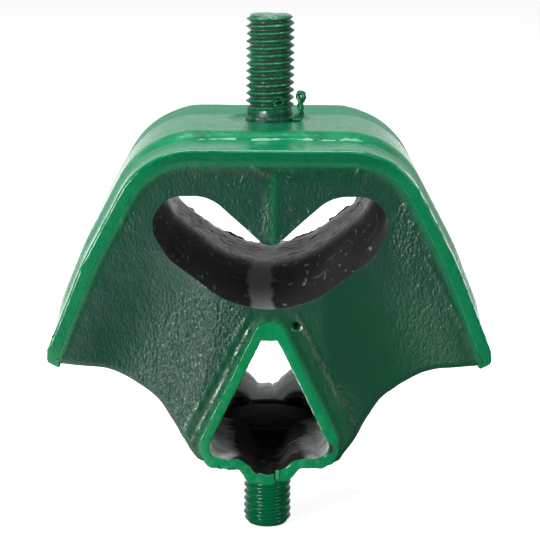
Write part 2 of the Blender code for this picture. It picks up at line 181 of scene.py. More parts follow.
# %% Lamps
LAMPS = (
    # name, place in metres, width, height, watts
    ("left_window", (-0.47, -0.52, 0.16), 0.20, 0.24, 3.5),
    ("right_window", (0.60, -0.35, 0.36), 0.22, 0.35, 0.9),
    ("overhead", (-0.06, 0.04, 0.80), 0.50, 0.66, 7.2),
    ("front_fill", (0.15, -0.95, 0.62), 0.45, 0.45, 0.8),
)
LIT_PLACE = Vector((0, 0, 0.05))
for name, place, width, height, watts in LAMPS:
    lamp = bpy.data.lights.new(name, "AREA")
    lamp.shape = "RECTANGLE"
    lamp.size, lamp.size_y = width, height
    lamp.energy = watts
    item = bpy.data.objects.new(name, lamp)
    item.location = place
    item.rotation_euler = (LIT_PLACE - Vector(place)).to_track_quat("-Z", "Y").to_euler()
    bpy.context.scene.collection.objects.link(item)
print("lamps:", len(LAMPS))

# %% [markdown]
# ## Helpers for shapes
#
# Every piece is a bmesh first. When its shape is made, it becomes an object that sits
# at the origin, rides on the part's one body and replaces the plain solid of the same
# piece. Outlines are lists of corners with a radius each, rounded as a drawing office
# would round them.

# %% Objects from shapes
SHARP_ANGLE = 1.0       # radians; flatter edges are shaded smooth


def link_object(bm, name):
    """Put a bmesh into the scene as an object."""
    mesh = bpy.data.meshes.new(name)
    bm.to_mesh(mesh)
    bm.free()
    item = bpy.data.objects.new(name, mesh)
    bpy.context.scene.collection.objects.link(item)
    return item


def to_piece(bm, name, material, slot, *nodes):
    """Make a finished piece of a bmesh, in the place of the plain solids named last."""
    item = link_object(bm, name)
    item.data.materials.append(material)
    item.data.shade_smooth()
    item.data.set_sharp_from_angle(angle=SHARP_ANGLE)
    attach(item, "root")
    if nodes:
        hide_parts(*nodes)
    print(name, "faces:", len(item.data.polygons))


def with_wall(bm, thickness, edge_round, segments):
    """Give a sheet its wall and round edges, in mm, as a merged and closed bmesh."""
    item = link_object(bm, "sheet")
    wall = item.modifiers.new("wall", "SOLIDIFY")
    wall.thickness = thickness * MM
    wall.offset = -1
    wall.use_even_offset = True
    edge = item.modifiers.new("edge", "BEVEL")
    edge.width = edge_round * MM
    edge.use_clamp_overlap = False
    edge.segments = segments
    edge.limit_method = "ANGLE"
    edge.angle_limit = math.radians(50)
    graph = bpy.context.evaluated_depsgraph_get()
    mesh = bpy.data.meshes.new_from_object(item.evaluated_get(graph))
    bm = bmesh.new()
    bm.from_mesh(mesh)
    flat = item.data
    bpy.data.objects.remove(item)
    for used in (mesh, flat):
        bpy.data.meshes.remove(used)
    bmesh.ops.remove_doubles(bm, verts=bm.verts, dist=0.001 * MM)
    bmesh.ops.recalc_face_normals(bm, faces=bm.faces)
    print("sheet points:", len(bm.verts))
    return bm

# %% Smooth rules and noise
def ease(value):
    """Smooth step from 0 to 1."""
    value = min(max(value, 0.0), 1.0)
    return value * value * (3 - 2 * value)


def bump(distance, width):
    """1 at distance 0, falling smoothly to 0 at the width."""
    return ease(1 - abs(distance) / width)


def wave(place, size, seed=0.0):
    """Smooth noise between about -1 and 1 whose lumps are a given size in metres."""
    return noise.noise(place / size + Vector((seed, 2.3 * seed, -seed))) * 1.6

# %% Rounded outlines
def fillet(before, corner, after, radius, step):
    """The arc that rounds one corner of a flat outline."""
    to_before = (before - corner).normalized()
    to_after = (after - corner).normalized()
    half = to_before.angle(to_after) / 2
    centre = corner + (to_before + to_after).normalized() * (radius / math.sin(half))
    start = corner + to_before * (radius / math.tan(half)) - centre
    sweep = (corner + to_after * (radius / math.tan(half)) - centre).angle_signed(start)
    count = max(3, math.ceil(abs(sweep) * radius / step))
    return [centre + Matrix.Rotation(sweep * i / count, 2) @ start for i in range(count + 1)]


def rounded(corners, closed, step=0.6 * MM):
    """Evenly divided outline of (x, z, radius) corners in millimetres."""
    places = [Vector((x, z)) * MM for x, z, _ in corners]
    points = []
    for i, corner in enumerate(places):
        radius = corners[i][2] * MM
        if radius == 0 or (not closed and i in (0, len(corners) - 1)):
            points.append(corner)
        else:
            points += fillet(places[i - 1], corner, places[(i + 1) % len(places)], radius, step)
    even = []
    for a, b in zip(points, points[1:] + (points[:1] if closed else [])):
        count = max(1, math.ceil((b - a).length / step - 0.001))
        even += [a.lerp(b, i / count) for i in range(count)]
    return even if closed else even + [points[-1]]


def other_side(corners):
    """The same corners on the other side, in the opposite order."""
    return [(-x, z, radius) for x, z, radius in reversed(corners)]

# %% [markdown]
# ## Enamel on steel
#
# The green is a thick glossy enamel, sprayed on and run into soft waves. It has the
# gloss of plastic, with an IOR of 1.5 and a low roughness, over a skin like the peel
# of an orange. Two sizes of noise tilt the surface: one for the peel, about 1 mm
# across, and one for the sags, about 5 mm.

# %% Enamel
# The palest of these tones is painted top light for the saddle's up-facing surfaces, and the dull one
# is painted shade for the rear of its top.
ENAMEL = {"deep": "#006a40", "plain": "#007a4c", "thick_paint_and_top_light": "#00895a", "dull": "#007f56"}


def enamel(name, tone, gloss=0.28, peel=0.05):
    """Thick green enamel: the material, its tree, its shader, and its tone and roughness."""
    material, tree, shader = blank_material(name)
    place = add(tree, "TexCoord").outputs["Object"]
    sags = add(tree, "TexNoise", {"Vector": place, "Scale": 190.0, "Detail": 2.0})
    skin = add(tree, "TexNoise", {"Vector": place, "Scale": 900.0, "Detail": 3.0,
                                  "Roughness": 0.55})
    specks = add(tree, "TexNoise", {"Vector": place, "Scale": 2400.0, "Detail": 2.0})
    mixed = add(tree, "Mix", {"Factor": sags, 6: colour(tone), 7: colour(ENAMEL["deep"])},
                data_type="RGBA")
    rough = add(tree, "MapRange", {0: specks, 1: 0.3, 2: 0.75, 3: gloss * 0.75,
                                   4: gloss * 1.5})
    low = add(tree, "Bump", {"Height": sags, "Strength": 0.4, "Distance": 0.4 * MM})
    high = add(tree, "Bump", {"Height": skin, "Strength": 0.8, "Distance": peel * MM * 2,
                              "Normal": low})
    fill(tree, shader, {"Base Color": mixed, "Roughness": rough, "Normal": high, "IOR": 1.5})
    return material, tree, shader, mixed, rough

# %% [markdown]
# The saddle's up-facing surfaces are painted a paler tone as painted top light. Behind a
# crisp line on the top they are painted darker, as painted shade, and are rougher, so a
# step along the depth changes the tone and the gloss there, and fades out down the
# flanks. On level ground the paint has most of its peel, and none where it ran together
# and dried wet.

# %% Enamel on the saddle
SADDLE_MATERIAL, tree, shader, tone, rough = enamel("sprayed_enamel_on_saddle", ENAMEL["plain"],
                                                   gloss=0.20, peel=0.17)
place = add(tree, "TexCoord").outputs["Object"]
_, depth, height = add(tree, "SeparateXYZ", {0: place}).outputs
upper, wet = (add(tree, "Attribute", attribute_name=name).outputs["Fac"]
              for name in ("upper", "wet"))
# behind this wavy line across the top, the tone is painted darker as painted shade, and the paint is
# rougher
wobble = add(tree, "TexNoise", {"Vector": place, "Scale": 400.0, "Detail": 2.0})
line = add(tree, "Math", {0: wobble, 1: 0.9 * MM, 2: depth}, operation="MULTIPLY_ADD")
rear_shade_and_dullness = add(tree, "MapRange", {0: line, 1: 5.2 * MM, 2: 5.8 * MM})
faded = add(tree, "MapRange", {0: height, 1: 58.0 * MM, 2: 76.0 * MM},
            interpolation_type="SMOOTHSTEP")
rear_shade_and_dullness = add(tree, "Math", {0: rear_shade_and_dullness, 1: faded}, operation="MULTIPLY")
cloud = add(tree, "TexNoise", {"Vector": place, "Scale": 260.0, "Detail": 3.0})
cloud = add(tree, "MapRange", {0: cloud, 1: 0.45, 2: 0.75, 3: 0.0, 4: 0.8})
# up-facing surfaces get a paler tone as painted top light, with a darker rear as painted shade
top_light_tone = colour(ENAMEL["thick_paint_and_top_light"])
for factor, layer in ((cloud, "deep"), (rear_shade_and_dullness, "dull")):
    top_light_tone = add(tree, "Mix", {"Factor": factor, 6: top_light_tone, 7: colour(ENAMEL[layer])},
                   data_type="RGBA")
# painted shade: the rim's front face is darker near the top
top_front_shade = add(tree, "MapRange", {0: height, 1: 79.0 * MM, 2: 82.5 * MM, 3: 0.0, 4: 0.8})
for factor, layer in ((top_front_shade, colour("#005c3a")), (upper, top_light_tone)):
    tone = add(tree, "Mix", {"Factor": factor, 6: tone, 7: layer}, data_type="RGBA")
duller = add(tree, "Math", {0: rear_shade_and_dullness, 1: 0.22, 2: rough}, operation="MULTIPLY_ADD")
wetter = add(tree, "Mix", {"Factor": wet, 2: duller, 3: 0.06}, data_type="FLOAT")
top_peel = add(tree, "MapRange", {0: depth, 1: -21.5 * MM, 2: -18.5 * MM, 3: 0.2, 4: 0.8})
peel = add(tree, "MapRange", {0: upper, 3: 0.42, 4: top_peel})
flowed = add(tree, "MapRange", {0: wet, 2: 0.35, 3: peel, 4: 0.06})
fill(tree, shader, {"Base Color": tone, "Roughness": wetter})
fill(tree, shader.inputs["Normal"].links[0].from_node, {"Strength": flowed})
print("saddle nodes:", len(tree.nodes))

# %% [markdown]
# Inside the tube the spray hardly reached. The steel there is black with grey dust
# that the wash left behind; the grey grows stronger towards the rear opening, and that
# part is painted light, standing for light that reaches in from behind. An attribute on
# the mesh says which points line the tube, and noise breaks up the line where the green
# ends. Two more say where the paint is chipped to brown primer and where a painted
# highlight lies in dashes along its dried rim.

# %% Enamel and dirt on the tube
TUBE_MATERIAL, tree, shader, tone, rough = enamel("sprayed_enamel_on_tube", "#008a50", gloss=0.16)
place = add(tree, "TexCoord").outputs["Object"]
lining, dust_and_back_light, chip, painted_glint = (add(tree, "Attribute", attribute_name=name).outputs["Fac"]
                               for name in ("lining", "dust", "chip", "painted_glint"))
fleck = add(tree, "TexNoise", {"Vector": place, "Scale": 700.0, "Detail": 3.0})
smear = add(tree, "TexNoise", {"Vector": place, "Scale": 130.0, "Detail": 4.0,
                               "Roughness": 0.6, "Distortion": 0.6})
inside = add(tree, "Math", {0: fleck, 1: 0.35, 2: lining}, operation="MULTIPLY_ADD")
inside = add(tree, "MapRange", {0: inside, 1: 0.62, 2: 0.72})
# one grey for dust and for painted light where light reaches in from the rear
dust = add(tree, "Math", {0: dust_and_back_light, 1: 0.42, 2: smear}, operation="MULTIPLY_ADD")
dust = add(tree, "MapRange", {0: dust, 1: 0.6, 2: 1.0, 3: 0.0, 4: 0.9})
dust_and_back_light_tone = add(tree, "Mix", {"Factor": dust, 6: colour("#030404"), 7: colour("#d6dcd9")},
           data_type="RGBA")
chip = add(tree, "Math", {0: fleck, 1: 0.8, 2: chip}, operation="MULTIPLY_ADD")
chip = add(tree, "MapRange", {0: chip, 1: 0.85, 2: 0.95})
# painted highlight: the glint mask lays near-white dashes along the rim
painted_glint = add(tree, "Math", {0: fleck, 1: painted_glint}, operation="MULTIPLY")
painted_glint = add(tree, "MapRange", {0: painted_glint, 1: 0.36, 2: 0.44, 3: 0.0, 4: 0.8})
for factor, layer in ((chip, colour("#3a2c27")), (painted_glint, colour("#d8e8df")), (inside, dust_and_back_light_tone)):
    tone = add(tree, "Mix", {"Factor": factor, 6: tone, 7: layer}, data_type="RGBA")
dull = add(tree, "Math", {0: inside, 1: 0.85, 2: rough}, operation="MULTIPLY_ADD")
fill(tree, shader, {"Base Color": tone, "Roughness": dull})
print("tube nodes:", len(tree.nodes))

# %% [markdown]
# On the studs the paint follows the thread. The upper one was rubbed: its crests are
# bright and rough, and its roots hold grey dust. Its foot, where it meets the saddle, is
# painted darker as painted shade. The lower one is thick and glossy.

# %% Enamel on the studs
UPPER_THREAD_MATERIAL, tree, shader, tone, _ = enamel("thin_enamel_on_thread", "#0a7c55", gloss=0.30)
place = add(tree, "TexCoord").outputs["Object"]
height = add(tree, "SeparateXYZ", {0: place}).outputs[2]
root = add(tree, "Attribute", attribute_name="root").outputs["Fac"]
patch = add(tree, "TexNoise", {"Vector": place, "Scale": 420.0, "Detail": 3.0})
grit = add(tree, "TexNoise", {"Vector": place, "Scale": 1500.0, "Detail": 2.0})
dirty = add(tree, "Math", {0: patch, 1: root}, operation="MULTIPLY")
dirty = add(tree, "MapRange", {0: dirty, 1: 0.22, 2: 0.50, 3: 0.0, 4: 0.85})
# painted shade: the stud is darker at its foot, where it meets the saddle
foot_shade = add(tree, "MapRange", {0: height, 1: 87.2 * MM, 2: 88.6 * MM, 3: 0.8, 4: 0.0})
worn = add(tree, "MapRange", {0: height, 1: 106.9 * MM, 2: 107.05 * MM})
for factor, code in ((dirty, "#33423b"), (foot_shade, "#0b4030"), (worn, "#5f9478")):
    tone = add(tree, "Mix", {"Factor": factor, 6: tone, 7: colour(code)}, data_type="RGBA")
rubbed = add(tree, "MapRange", {0: grit, 1: 0.35, 2: 0.65, 3: 0.16, 4: 0.6})
fill(tree, shader, {"Base Color": tone, "Roughness": rubbed})
LOWER_THREAD_MATERIAL = enamel("thick_enamel_on_thread", "#006e45", gloss=0.14, peel=0.02)[0]

# %% Black steel of the studs' heads
# phosphate leaves the steel black and quite dull, with grey dust on it
HEAD_MATERIAL, tree, shader = blank_material("black_phosphated_steel")
place = add(tree, "TexCoord").outputs["Object"]
smear = add(tree, "TexNoise", {"Vector": place, "Scale": 260.0, "Detail": 4.0})
dust = add(tree, "MapRange", {0: smear, 1: 0.55, 2: 0.7, 3: 0.0, 4: 0.5})
tone = add(tree, "Mix", {"Factor": dust, 6: colour("#060607"), 7: colour("#3c4241")},
           data_type="RGBA")
fill(tree, shader, {"Base Color": tone, "Roughness": 0.8, "Specular IOR Level": 0.12})

# %% [markdown]
# ## Painted rubber
#
# The overspray on the rubber is thin and half dull, so black shows through and the
# colour is dark. Where it lies thicker, along the rib and round the tube, it is a
# cleaner green. The rubber has moved under the film and wrinkled it like leather. In
# the hole the paint reached only the front edge, and behind it the rubber is bare and
# black. Attributes on the mesh say where the paint is thick, wrinkled, stained or
# missing; noise at the size of the real grain, about 1 mm, does the rest.

# %% Rubber: the film of paint
RUBBER_MATERIAL, tree, shader = blank_material("painted_and_bare_rubber")
place = add(tree, "TexCoord").outputs["Object"]
thick_paint_and_top_light, creased, stained, wet, smear_and_highlight, depth = (
    add(tree, "Attribute", attribute_name=name).outputs["Fac"]
    for name in ("thick_paint_and_top_light", "wrinkle", "stain", "wet", "smear", "hole_depth"))

warp = add(tree, "Mapping", {"Vector": place, "Rotation": (0, math.radians(-24), 0),
                             "Scale": (1.0, 1.0, 0.62)})
leather = add(tree, "TexNoise", {"Vector": warp, "Scale": 1350.0, "Detail": 4.0,
                                 "Roughness": 0.62, "Distortion": 0.5})
grain = add(tree, "TexNoise", {"Vector": place, "Scale": 2300.0, "Detail": 2.0})
cloud = add(tree, "TexNoise", {"Vector": place, "Scale": 95.0, "Detail": 4.0,
                               "Roughness": 0.6})
film = add(tree, "Math", {0: cloud, 1: 1.5, 2: thick_paint_and_top_light}, operation="MULTIPLY_ADD")
film = add(tree, "MapRange", {0: film, 1: 0.6, 2: 1.5})
heavy = add(tree, "Math", {0: cloud, 1: 0.6, 2: thick_paint_and_top_light}, operation="MULTIPLY_ADD")
heavy = add(tree, "MapRange", {0: heavy, 1: 1.2, 2: 2.1})
stain = add(tree, "Math", {0: leather, 1: stained}, operation="MULTIPLY")
stain = add(tree, "MapRange", {0: stain, 1: 0.22, 2: 0.62, 3: 0.0, 4: 0.75})
painted = colour("#0c4231")
for factor, code in ((film, "#004a2d"), (heavy, "#00764b"), (stain, "#4a4b40")):
    painted = add(tree, "Mix", {"Factor": factor, 6: painted, 7: colour(code)},
                  data_type="RGBA")
print("film nodes:", len(tree.nodes))

# %% [markdown]
# The bare wall of the hole is black with fine flecks, a grey smear across its floor that
# is also lightened as a painted highlight, a mist of spray along its front edge, and
# scrapes near the rear.

# %% Rubber: the bare wall of the hole
ragged = add(tree, "Math", {0: leather, 1: 2.2, 2: depth}, operation="MULTIPLY_ADD")
bare = add(tree, "MapRange", {0: ragged, 1: 1.4, 2: 1.65})
mist = add(tree, "MapRange", {0: ragged, 1: 1.5, 2: 3.6, 3: 1.6, 4: 0.0})
scuff = add(tree, "Mapping", {"Vector": place, "Rotation": (0, math.radians(38), 0.5),
                              "Scale": (1.0, 0.35, 2.6)})
scuff = add(tree, "TexNoise", {"Vector": scuff, "Scale": 560.0, "Detail": 3.0})
scuff = add(tree, "MapRange", {0: scuff, 1: 0.65, 2: 0.70, 3: 0.0, 4: 0.8})
# the smear is grey and is also lightened as a painted highlight
trail = add(tree, "Math", {0: smear_and_highlight, 1: 0.95, 2: cloud}, operation="MULTIPLY_ADD")
trail = add(tree, "MapRange", {0: trail, 1: 0.62, 2: 0.92, 3: 0.0, 4: 1.0})
streak = add(tree, "Mapping", {"Vector": place, "Scale": (0.3, 1.5, 1.0)})
streak = add(tree, "TexNoise", {"Vector": streak, "Scale": 800.0, "Detail": 2.0})
deep_in = add(tree, "MapRange", {0: depth, 1: 44.0, 2: 50.0})
scraped = add(tree, "MapRange", {0: streak, 1: 0.60, 2: 0.66})
scraped = add(tree, "Math", {0: scraped, 1: deep_in}, operation="MULTIPLY")
dusty = add(tree, "Math", {0: grain, 1: mist, 2: scuff}, operation="MULTIPLY_ADD")
for mark in (trail, scraped):
    dusty = add(tree, "Math", {0: dusty, 1: mark}, operation="MAXIMUM")
black = add(tree, "Mix", {"Factor": dusty, 6: colour("#18181a"), 7: colour("#c4c6c8")},
            data_type="RGBA")
skin = add(tree, "Mix", {"Factor": bare, 6: painted, 7: black}, data_type="RGBA")
print("film and wall nodes:", len(tree.nodes))

# %% [markdown]
# The paint is half glossy, and the bare rubber is matt but for a smooth band near the
# rear. Three sizes of relief lie on each other: pebbles, folds and pores.

# %% Rubber: gloss and relief
film_gloss = add(tree, "MapRange", {0: creased, 1: 0.0, 2: 1.0, 3: 0.30, 4: 0.24})
film_gloss = add(tree, "Mix", {"Factor": wet, 2: film_gloss, 3: 0.12}, data_type="FLOAT")
band = add(tree, "MapRange", {0: depth, 1: 38.0, 2: 52.0, 3: 0.9, 4: 0.34},
           interpolation_type="SMOOTHSTEP")
dashes = add(tree, "MapRange", {0: streak, 1: 0.40, 2: 0.36})
band = add(tree, "Math", {0: dashes, 1: 0.5, 2: band}, operation="MULTIPLY_ADD")
gloss = add(tree, "Mix", {"Factor": bare, 2: film_gloss, 3: band}, data_type="FLOAT")
height = add(tree, "MapRange", {0: creased, 1: 0.1, 2: 1.0, 3: 0.10, 4: 1.0})
pebble = add(tree, "Mix", {"Factor": 0.0006, 4: warp, 5: leather.outputs[1]},
             data_type="VECTOR")
pebble = add(tree, "TexVoronoi", {"Vector": pebble, "Scale": 1750.0}, feature="F1")
pebbles = add(tree, "Bump", {"Height": pebble, "Strength": height, "Distance": 0.30 * MM},
              invert=True)
folds = add(tree, "Bump", {"Height": leather, "Strength": height, "Distance": 0.27 * MM,
                           "Normal": pebbles})
pores = add(tree, "Bump", {"Height": grain, "Strength": 0.35, "Distance": 0.1 * MM,
                           "Normal": folds})
fill(tree, shader, {"Base Color": skin, "Roughness": gloss, "Normal": pores,
                    "Specular IOR Level": 0.85})
print("rubber nodes:", len(tree.nodes))

# %% [markdown]
# ## The saddle
#
# The saddle is one sheet of 3 mm steel, pressed over a former: a level top, two round
# corners and two legs. A broad band down its middle is pressed out by 1.5 mm, which
# leaves a flat rim front and rear. It could be modelled as a box bent with a modifier.
# Here a flat grid is laid along the saddle's line instead, because the band and the
# ring round the stud are then simple rules of where a point lies on the sheet.
# Solidify gives the sheet its thickness and Bevel the rounding that thick paint gives
# to sheared edges.

# %% Sizes of the saddle, in millimetres
DEPTH = 70.0
SHEET = 3.0
RIM_Z = 84.7
TOP_HALF = 14.5
CORNER_RADIUS = 16.0
UPPER_LEG = 12.6
UPPER_ANGLE = math.radians(28)
BEND_RADIUS = 40.0
LOWER_LEG = 18.0
LOWER_ANGLE = math.radians(22)
BAND_HEIGHT, BAND_LEG_HEIGHT = 1.5, 1.1
BAND_HALF, BAND_SLOPE, BAND_FADE = 19.0, 5.0, 9.0
RING_RADIUS, RING_DEPTH = 8.0, 0.4

CORNER_LENGTH = CORNER_RADIUS * (math.pi / 2 - UPPER_ANGLE)
BEND_LENGTH = BEND_RADIUS * (UPPER_ANGLE - LOWER_ANGLE)
FOOT = TOP_HALF + CORNER_LENGTH + UPPER_LEG + BEND_LENGTH + LOWER_LEG


def saddle_line(length):
    """Place and outward direction on the rim line, at a length from its middle, in mm."""
    place, heading, left = Vector((0, RIM_Z)), 0.0, abs(length)
    for run, radius in ((TOP_HALF, 0), (CORNER_LENGTH, CORNER_RADIUS), (UPPER_LEG, 0),
                        (BEND_LENGTH, BEND_RADIUS), (math.inf, 0)):
        step = min(run, left)
        left -= step
        turn = step / radius if radius else 0.0
        chord = 2 * radius * math.sin(turn / 2) if radius else step
        heading += turn / 2
        place += Vector((math.cos(heading), -math.sin(heading))) * chord
        heading += turn / 2
        if left <= 0:
            break
    side = -1 if length < 0 else 1
    return (Vector((side * place.x, place.y)),
            Vector((side * math.sin(heading), math.cos(heading))))


def band_lift(y, length):
    """How far the pressed band raises the sheet, in mm."""
    across = ease((BAND_HALF + BAND_SLOPE - abs(y)) / BAND_SLOPE)
    down = ease((abs(length) - TOP_HALF) / CORNER_LENGTH)
    height = BAND_HEIGHT + (BAND_LEG_HEIGHT - BAND_HEIGHT) * down
    return height * across * ease((FOOT - abs(length)) / BAND_FADE)

# %% Lay the sheet
EDGE_ROUND = 0.75


def spaced(outer, *runs):
    """Places of all rows in mm, from runs of (start, end, spacing) that make up half of them."""
    half = [outer]
    for start, end, spacing in runs:
        count = round((start - end) / spacing)
        half += [start + (end - start) * i / count for i in range(count)]
    return [-y for y in half] + [0.0] + half[::-1]


# the first row lies behind the bevel, and the slope of the band has the closest ones
ROWS = spaced(DEPTH / 2, (34.1, 25.7, 0.7), (25.7, 19.7, 0.3), (19.7, 0.0, 0.7))
COLUMNS = spaced(FOOT, (FOOT - 0.9, 0.0, 0.65))
bm = bmesh.new()
bmesh.ops.create_grid(bm, x_segments=len(COLUMNS) - 1, y_segments=len(ROWS) - 1, size=1.0)
for vert in bm.verts:
    length = COLUMNS[round((vert.co.x + 1) / 2 * (len(COLUMNS) - 1))]
    y = ROWS[round((vert.co.y + 1) / 2 * (len(ROWS) - 1))]
    place, outward = saddle_line(length)
    place += outward * band_lift(y, length)
    if abs(length) < TOP_HALF:
        place.y -= RING_DEPTH * ease((RING_RADIUS - math.hypot(place.x, y)) / 0.9 + 0.5)
    vert.co = Vector((place.x, y, place.y)) * MM
saddle = with_wall(bm, SHEET, EDGE_ROUND, segments=4)

# %% [markdown]
# Paint doesn't lie evenly on a pressed sheet: it sags in slow waves, gathers in beads
# along the lower edges and leaves small lumps where dirt was caught. The points move
# along their normals by three sizes of noise, most of all near the rims. A run of
# paint dried in a broken line along the band's front slope, a wet fleck lies in front
# of the stud, and the feet carry drops.

# %% Uneven paint on the saddle
RUN_X, RUN_Y, RUN_HALF = 1.5, -22.6, 18.0
FLECK_X, FLECK_Y, FLECK_RADIUS = 0.5, -6.6, 3.2
SKIN = 0.09     # the CAD sheet's own surface lies under this much uneven paint

upper = saddle.verts.layers.float.new("upper")
wet = saddle.verts.layers.float.new("wet")
saddle.normal_update()
foot_z = min(v.co.z for v in saddle.verts) / MM
for vert in saddle.verts:
    place = vert.co
    x, y, z = place / MM
    rim = bump(DEPTH / 2 - abs(y), 3.2)
    low = ease((62 - z) / 22)
    stud_ring_shade = bump(math.hypot(x, y) - 7.6, 1.1) * ease(0.6 + wave(place, 3.0 * MM, 21))
    patch = ease((6.5 - abs(x + 0.3)) / 2) * ease((-5 - y) / 1.5) * ease((22 + y) / 3)
    # up-facing points take the paler tone as painted top light; the ring round the stud and the patch
    # in front of it are left darker, as painted shade
    vert[upper] = ease(vert.normal.z * 1.4) * (1 - max(0.9 * stud_ring_shade, 0.6 * patch))
    bead = 0.0
    from_middle = abs(x - RUN_X)
    if vert.normal.z > 0.5 and from_middle < RUN_HALF:
        along = Vector((x, 0, 0))
        line = RUN_Y + 0.5 * wave(along, 7.0, 3) - 0.35 * ease((from_middle - 9) / 8)
        broken = 0.3 + 0.7 * ease(0.6 + 0.9 * wave(along, 1.6, 12))
        end = ease((RUN_HALF - from_middle) / 3)
        bead = bump(y - line, 0.6) * broken * end
        vert[wet] = bump(y - line, 1.1) * end
    if vert.normal.z > 0.9 and math.hypot(x - FLECK_X, y - FLECK_Y) < FLECK_RADIUS:
        bead = 0.5 * max(0.0, wave(place, 0.9 * MM, 31) - 0.1)
        vert[wet] = 1.0
    corner = bump(DEPTH / 2 + y, 1.4) * ease(vert.normal.z * 3)
    vert[wet] = max(vert[wet], corner * ease(0.4 + 1.2 * wave(place, 2.0 * MM, 15)))
    drop = ease((foot_z + 3.0 - z) / 3.0)
    slow = 0.04 * wave(place, 9 * MM, 1)
    beads = rim * 0.030 * wave(place, 2.4 * MM, 4) * (1 + 2.0 * low)
    lumps = rim * 0.14 * max(0.0, wave(place, 1.2 * MM, 9) - 0.4) * (1 + low + 2.2 * corner)
    sag = Vector((-0.2 * math.copysign(drop, x), 0.35 * math.copysign(drop * rim, -y), -1.5 * drop))
    rise = slow + beads + lumps - 0.10 * rim + 0.42 * bead - SKIN
    vert.co += (vert.normal * rise + sag) * MM
to_piece(saddle, "saddle", SADDLE_MATERIAL, "saddle_paint", "outer_bracket")

# %% [markdown]
# ## The folded tube
#
# The inner bracket is a strip folded round into a three-cornered tube, with the apex
# up and a channel pressed along its base. Its two ends meet in the channel and leave
# an open seam. The strip's outline is drawn once and extruded along the depth, row by
# row, and Solidify turns it into sheet.

# %% Sizes of the tube, in millimetres
TUBE_SHEET, TUBE_EDGE_ROUND = 2.4, 0.45
TUBE_BASE_Z = 22.3
APEX_Z = 51.8
TUBE_ANGLE = math.radians(25.8)
APEX_RADIUS = 3.4
TUBE_CORNER = 4.5
CHANNEL_Z = 19.0
SEAM_X, SEAM_WIDTH = 1.2, 0.4
SEAT_RADIUS, SEAT_Z = 12.0, 18.4

SHARP_APEX = APEX_Z + APEX_RADIUS * (1 / math.sin(TUBE_ANGLE) - 1)
TUBE_HALF = (SHARP_APEX - TUBE_BASE_Z) * math.tan(TUBE_ANGLE)

# %% Fold the strip
side = ((3.1, CHANNEL_Z, 3.0), (6.2, TUBE_BASE_Z, 1.5), (TUBE_HALF, TUBE_BASE_Z, TUBE_CORNER))
strip = rounded((
    (SEAM_X + SEAM_WIDTH / 2, CHANNEL_Z, 0),
    *side,
    (0, SHARP_APEX, APEX_RADIUS),
    *other_side(side),
    (SEAM_X - SEAM_WIDTH / 2, CHANNEL_Z, 0),
), closed=False, step=0.5 * MM)
bm = bmesh.new()
row = [bm.verts.new((p.x, -DEPTH / 2 * MM, p.y)) for p in strip]
edges = [bm.edges.new(pair) for pair in zip(row, row[1:])]
TUBE_ROWS = spaced(DEPTH / 2, (34.4, 30.2, 0.35), (30.2, 13.4, 0.8), (13.4, 0.0, 0.5))
for a, b in zip(TUBE_ROWS, TUBE_ROWS[1:]):
    swept = bmesh.ops.extrude_edge_only(bm, edges=edges)["geom"]
    edges = [e for e in swept if isinstance(e, bmesh.types.BMEdge)]
    moved = [v for v in swept if isinstance(v, bmesh.types.BMVert)]
    bmesh.ops.translate(bm, verts=moved, vec=(0, (b - a) * MM, 0))
tube = with_wall(bm, TUBE_SHEET, TUBE_EDGE_ROUND, segments=3)

# %% [markdown]
# The head of the lower stud lies in a round pocket, so the sheet is pushed down there
# into a turned seat. The paint filled the inner apex with a web and closed the seam,
# whose right edge stands higher at the front.

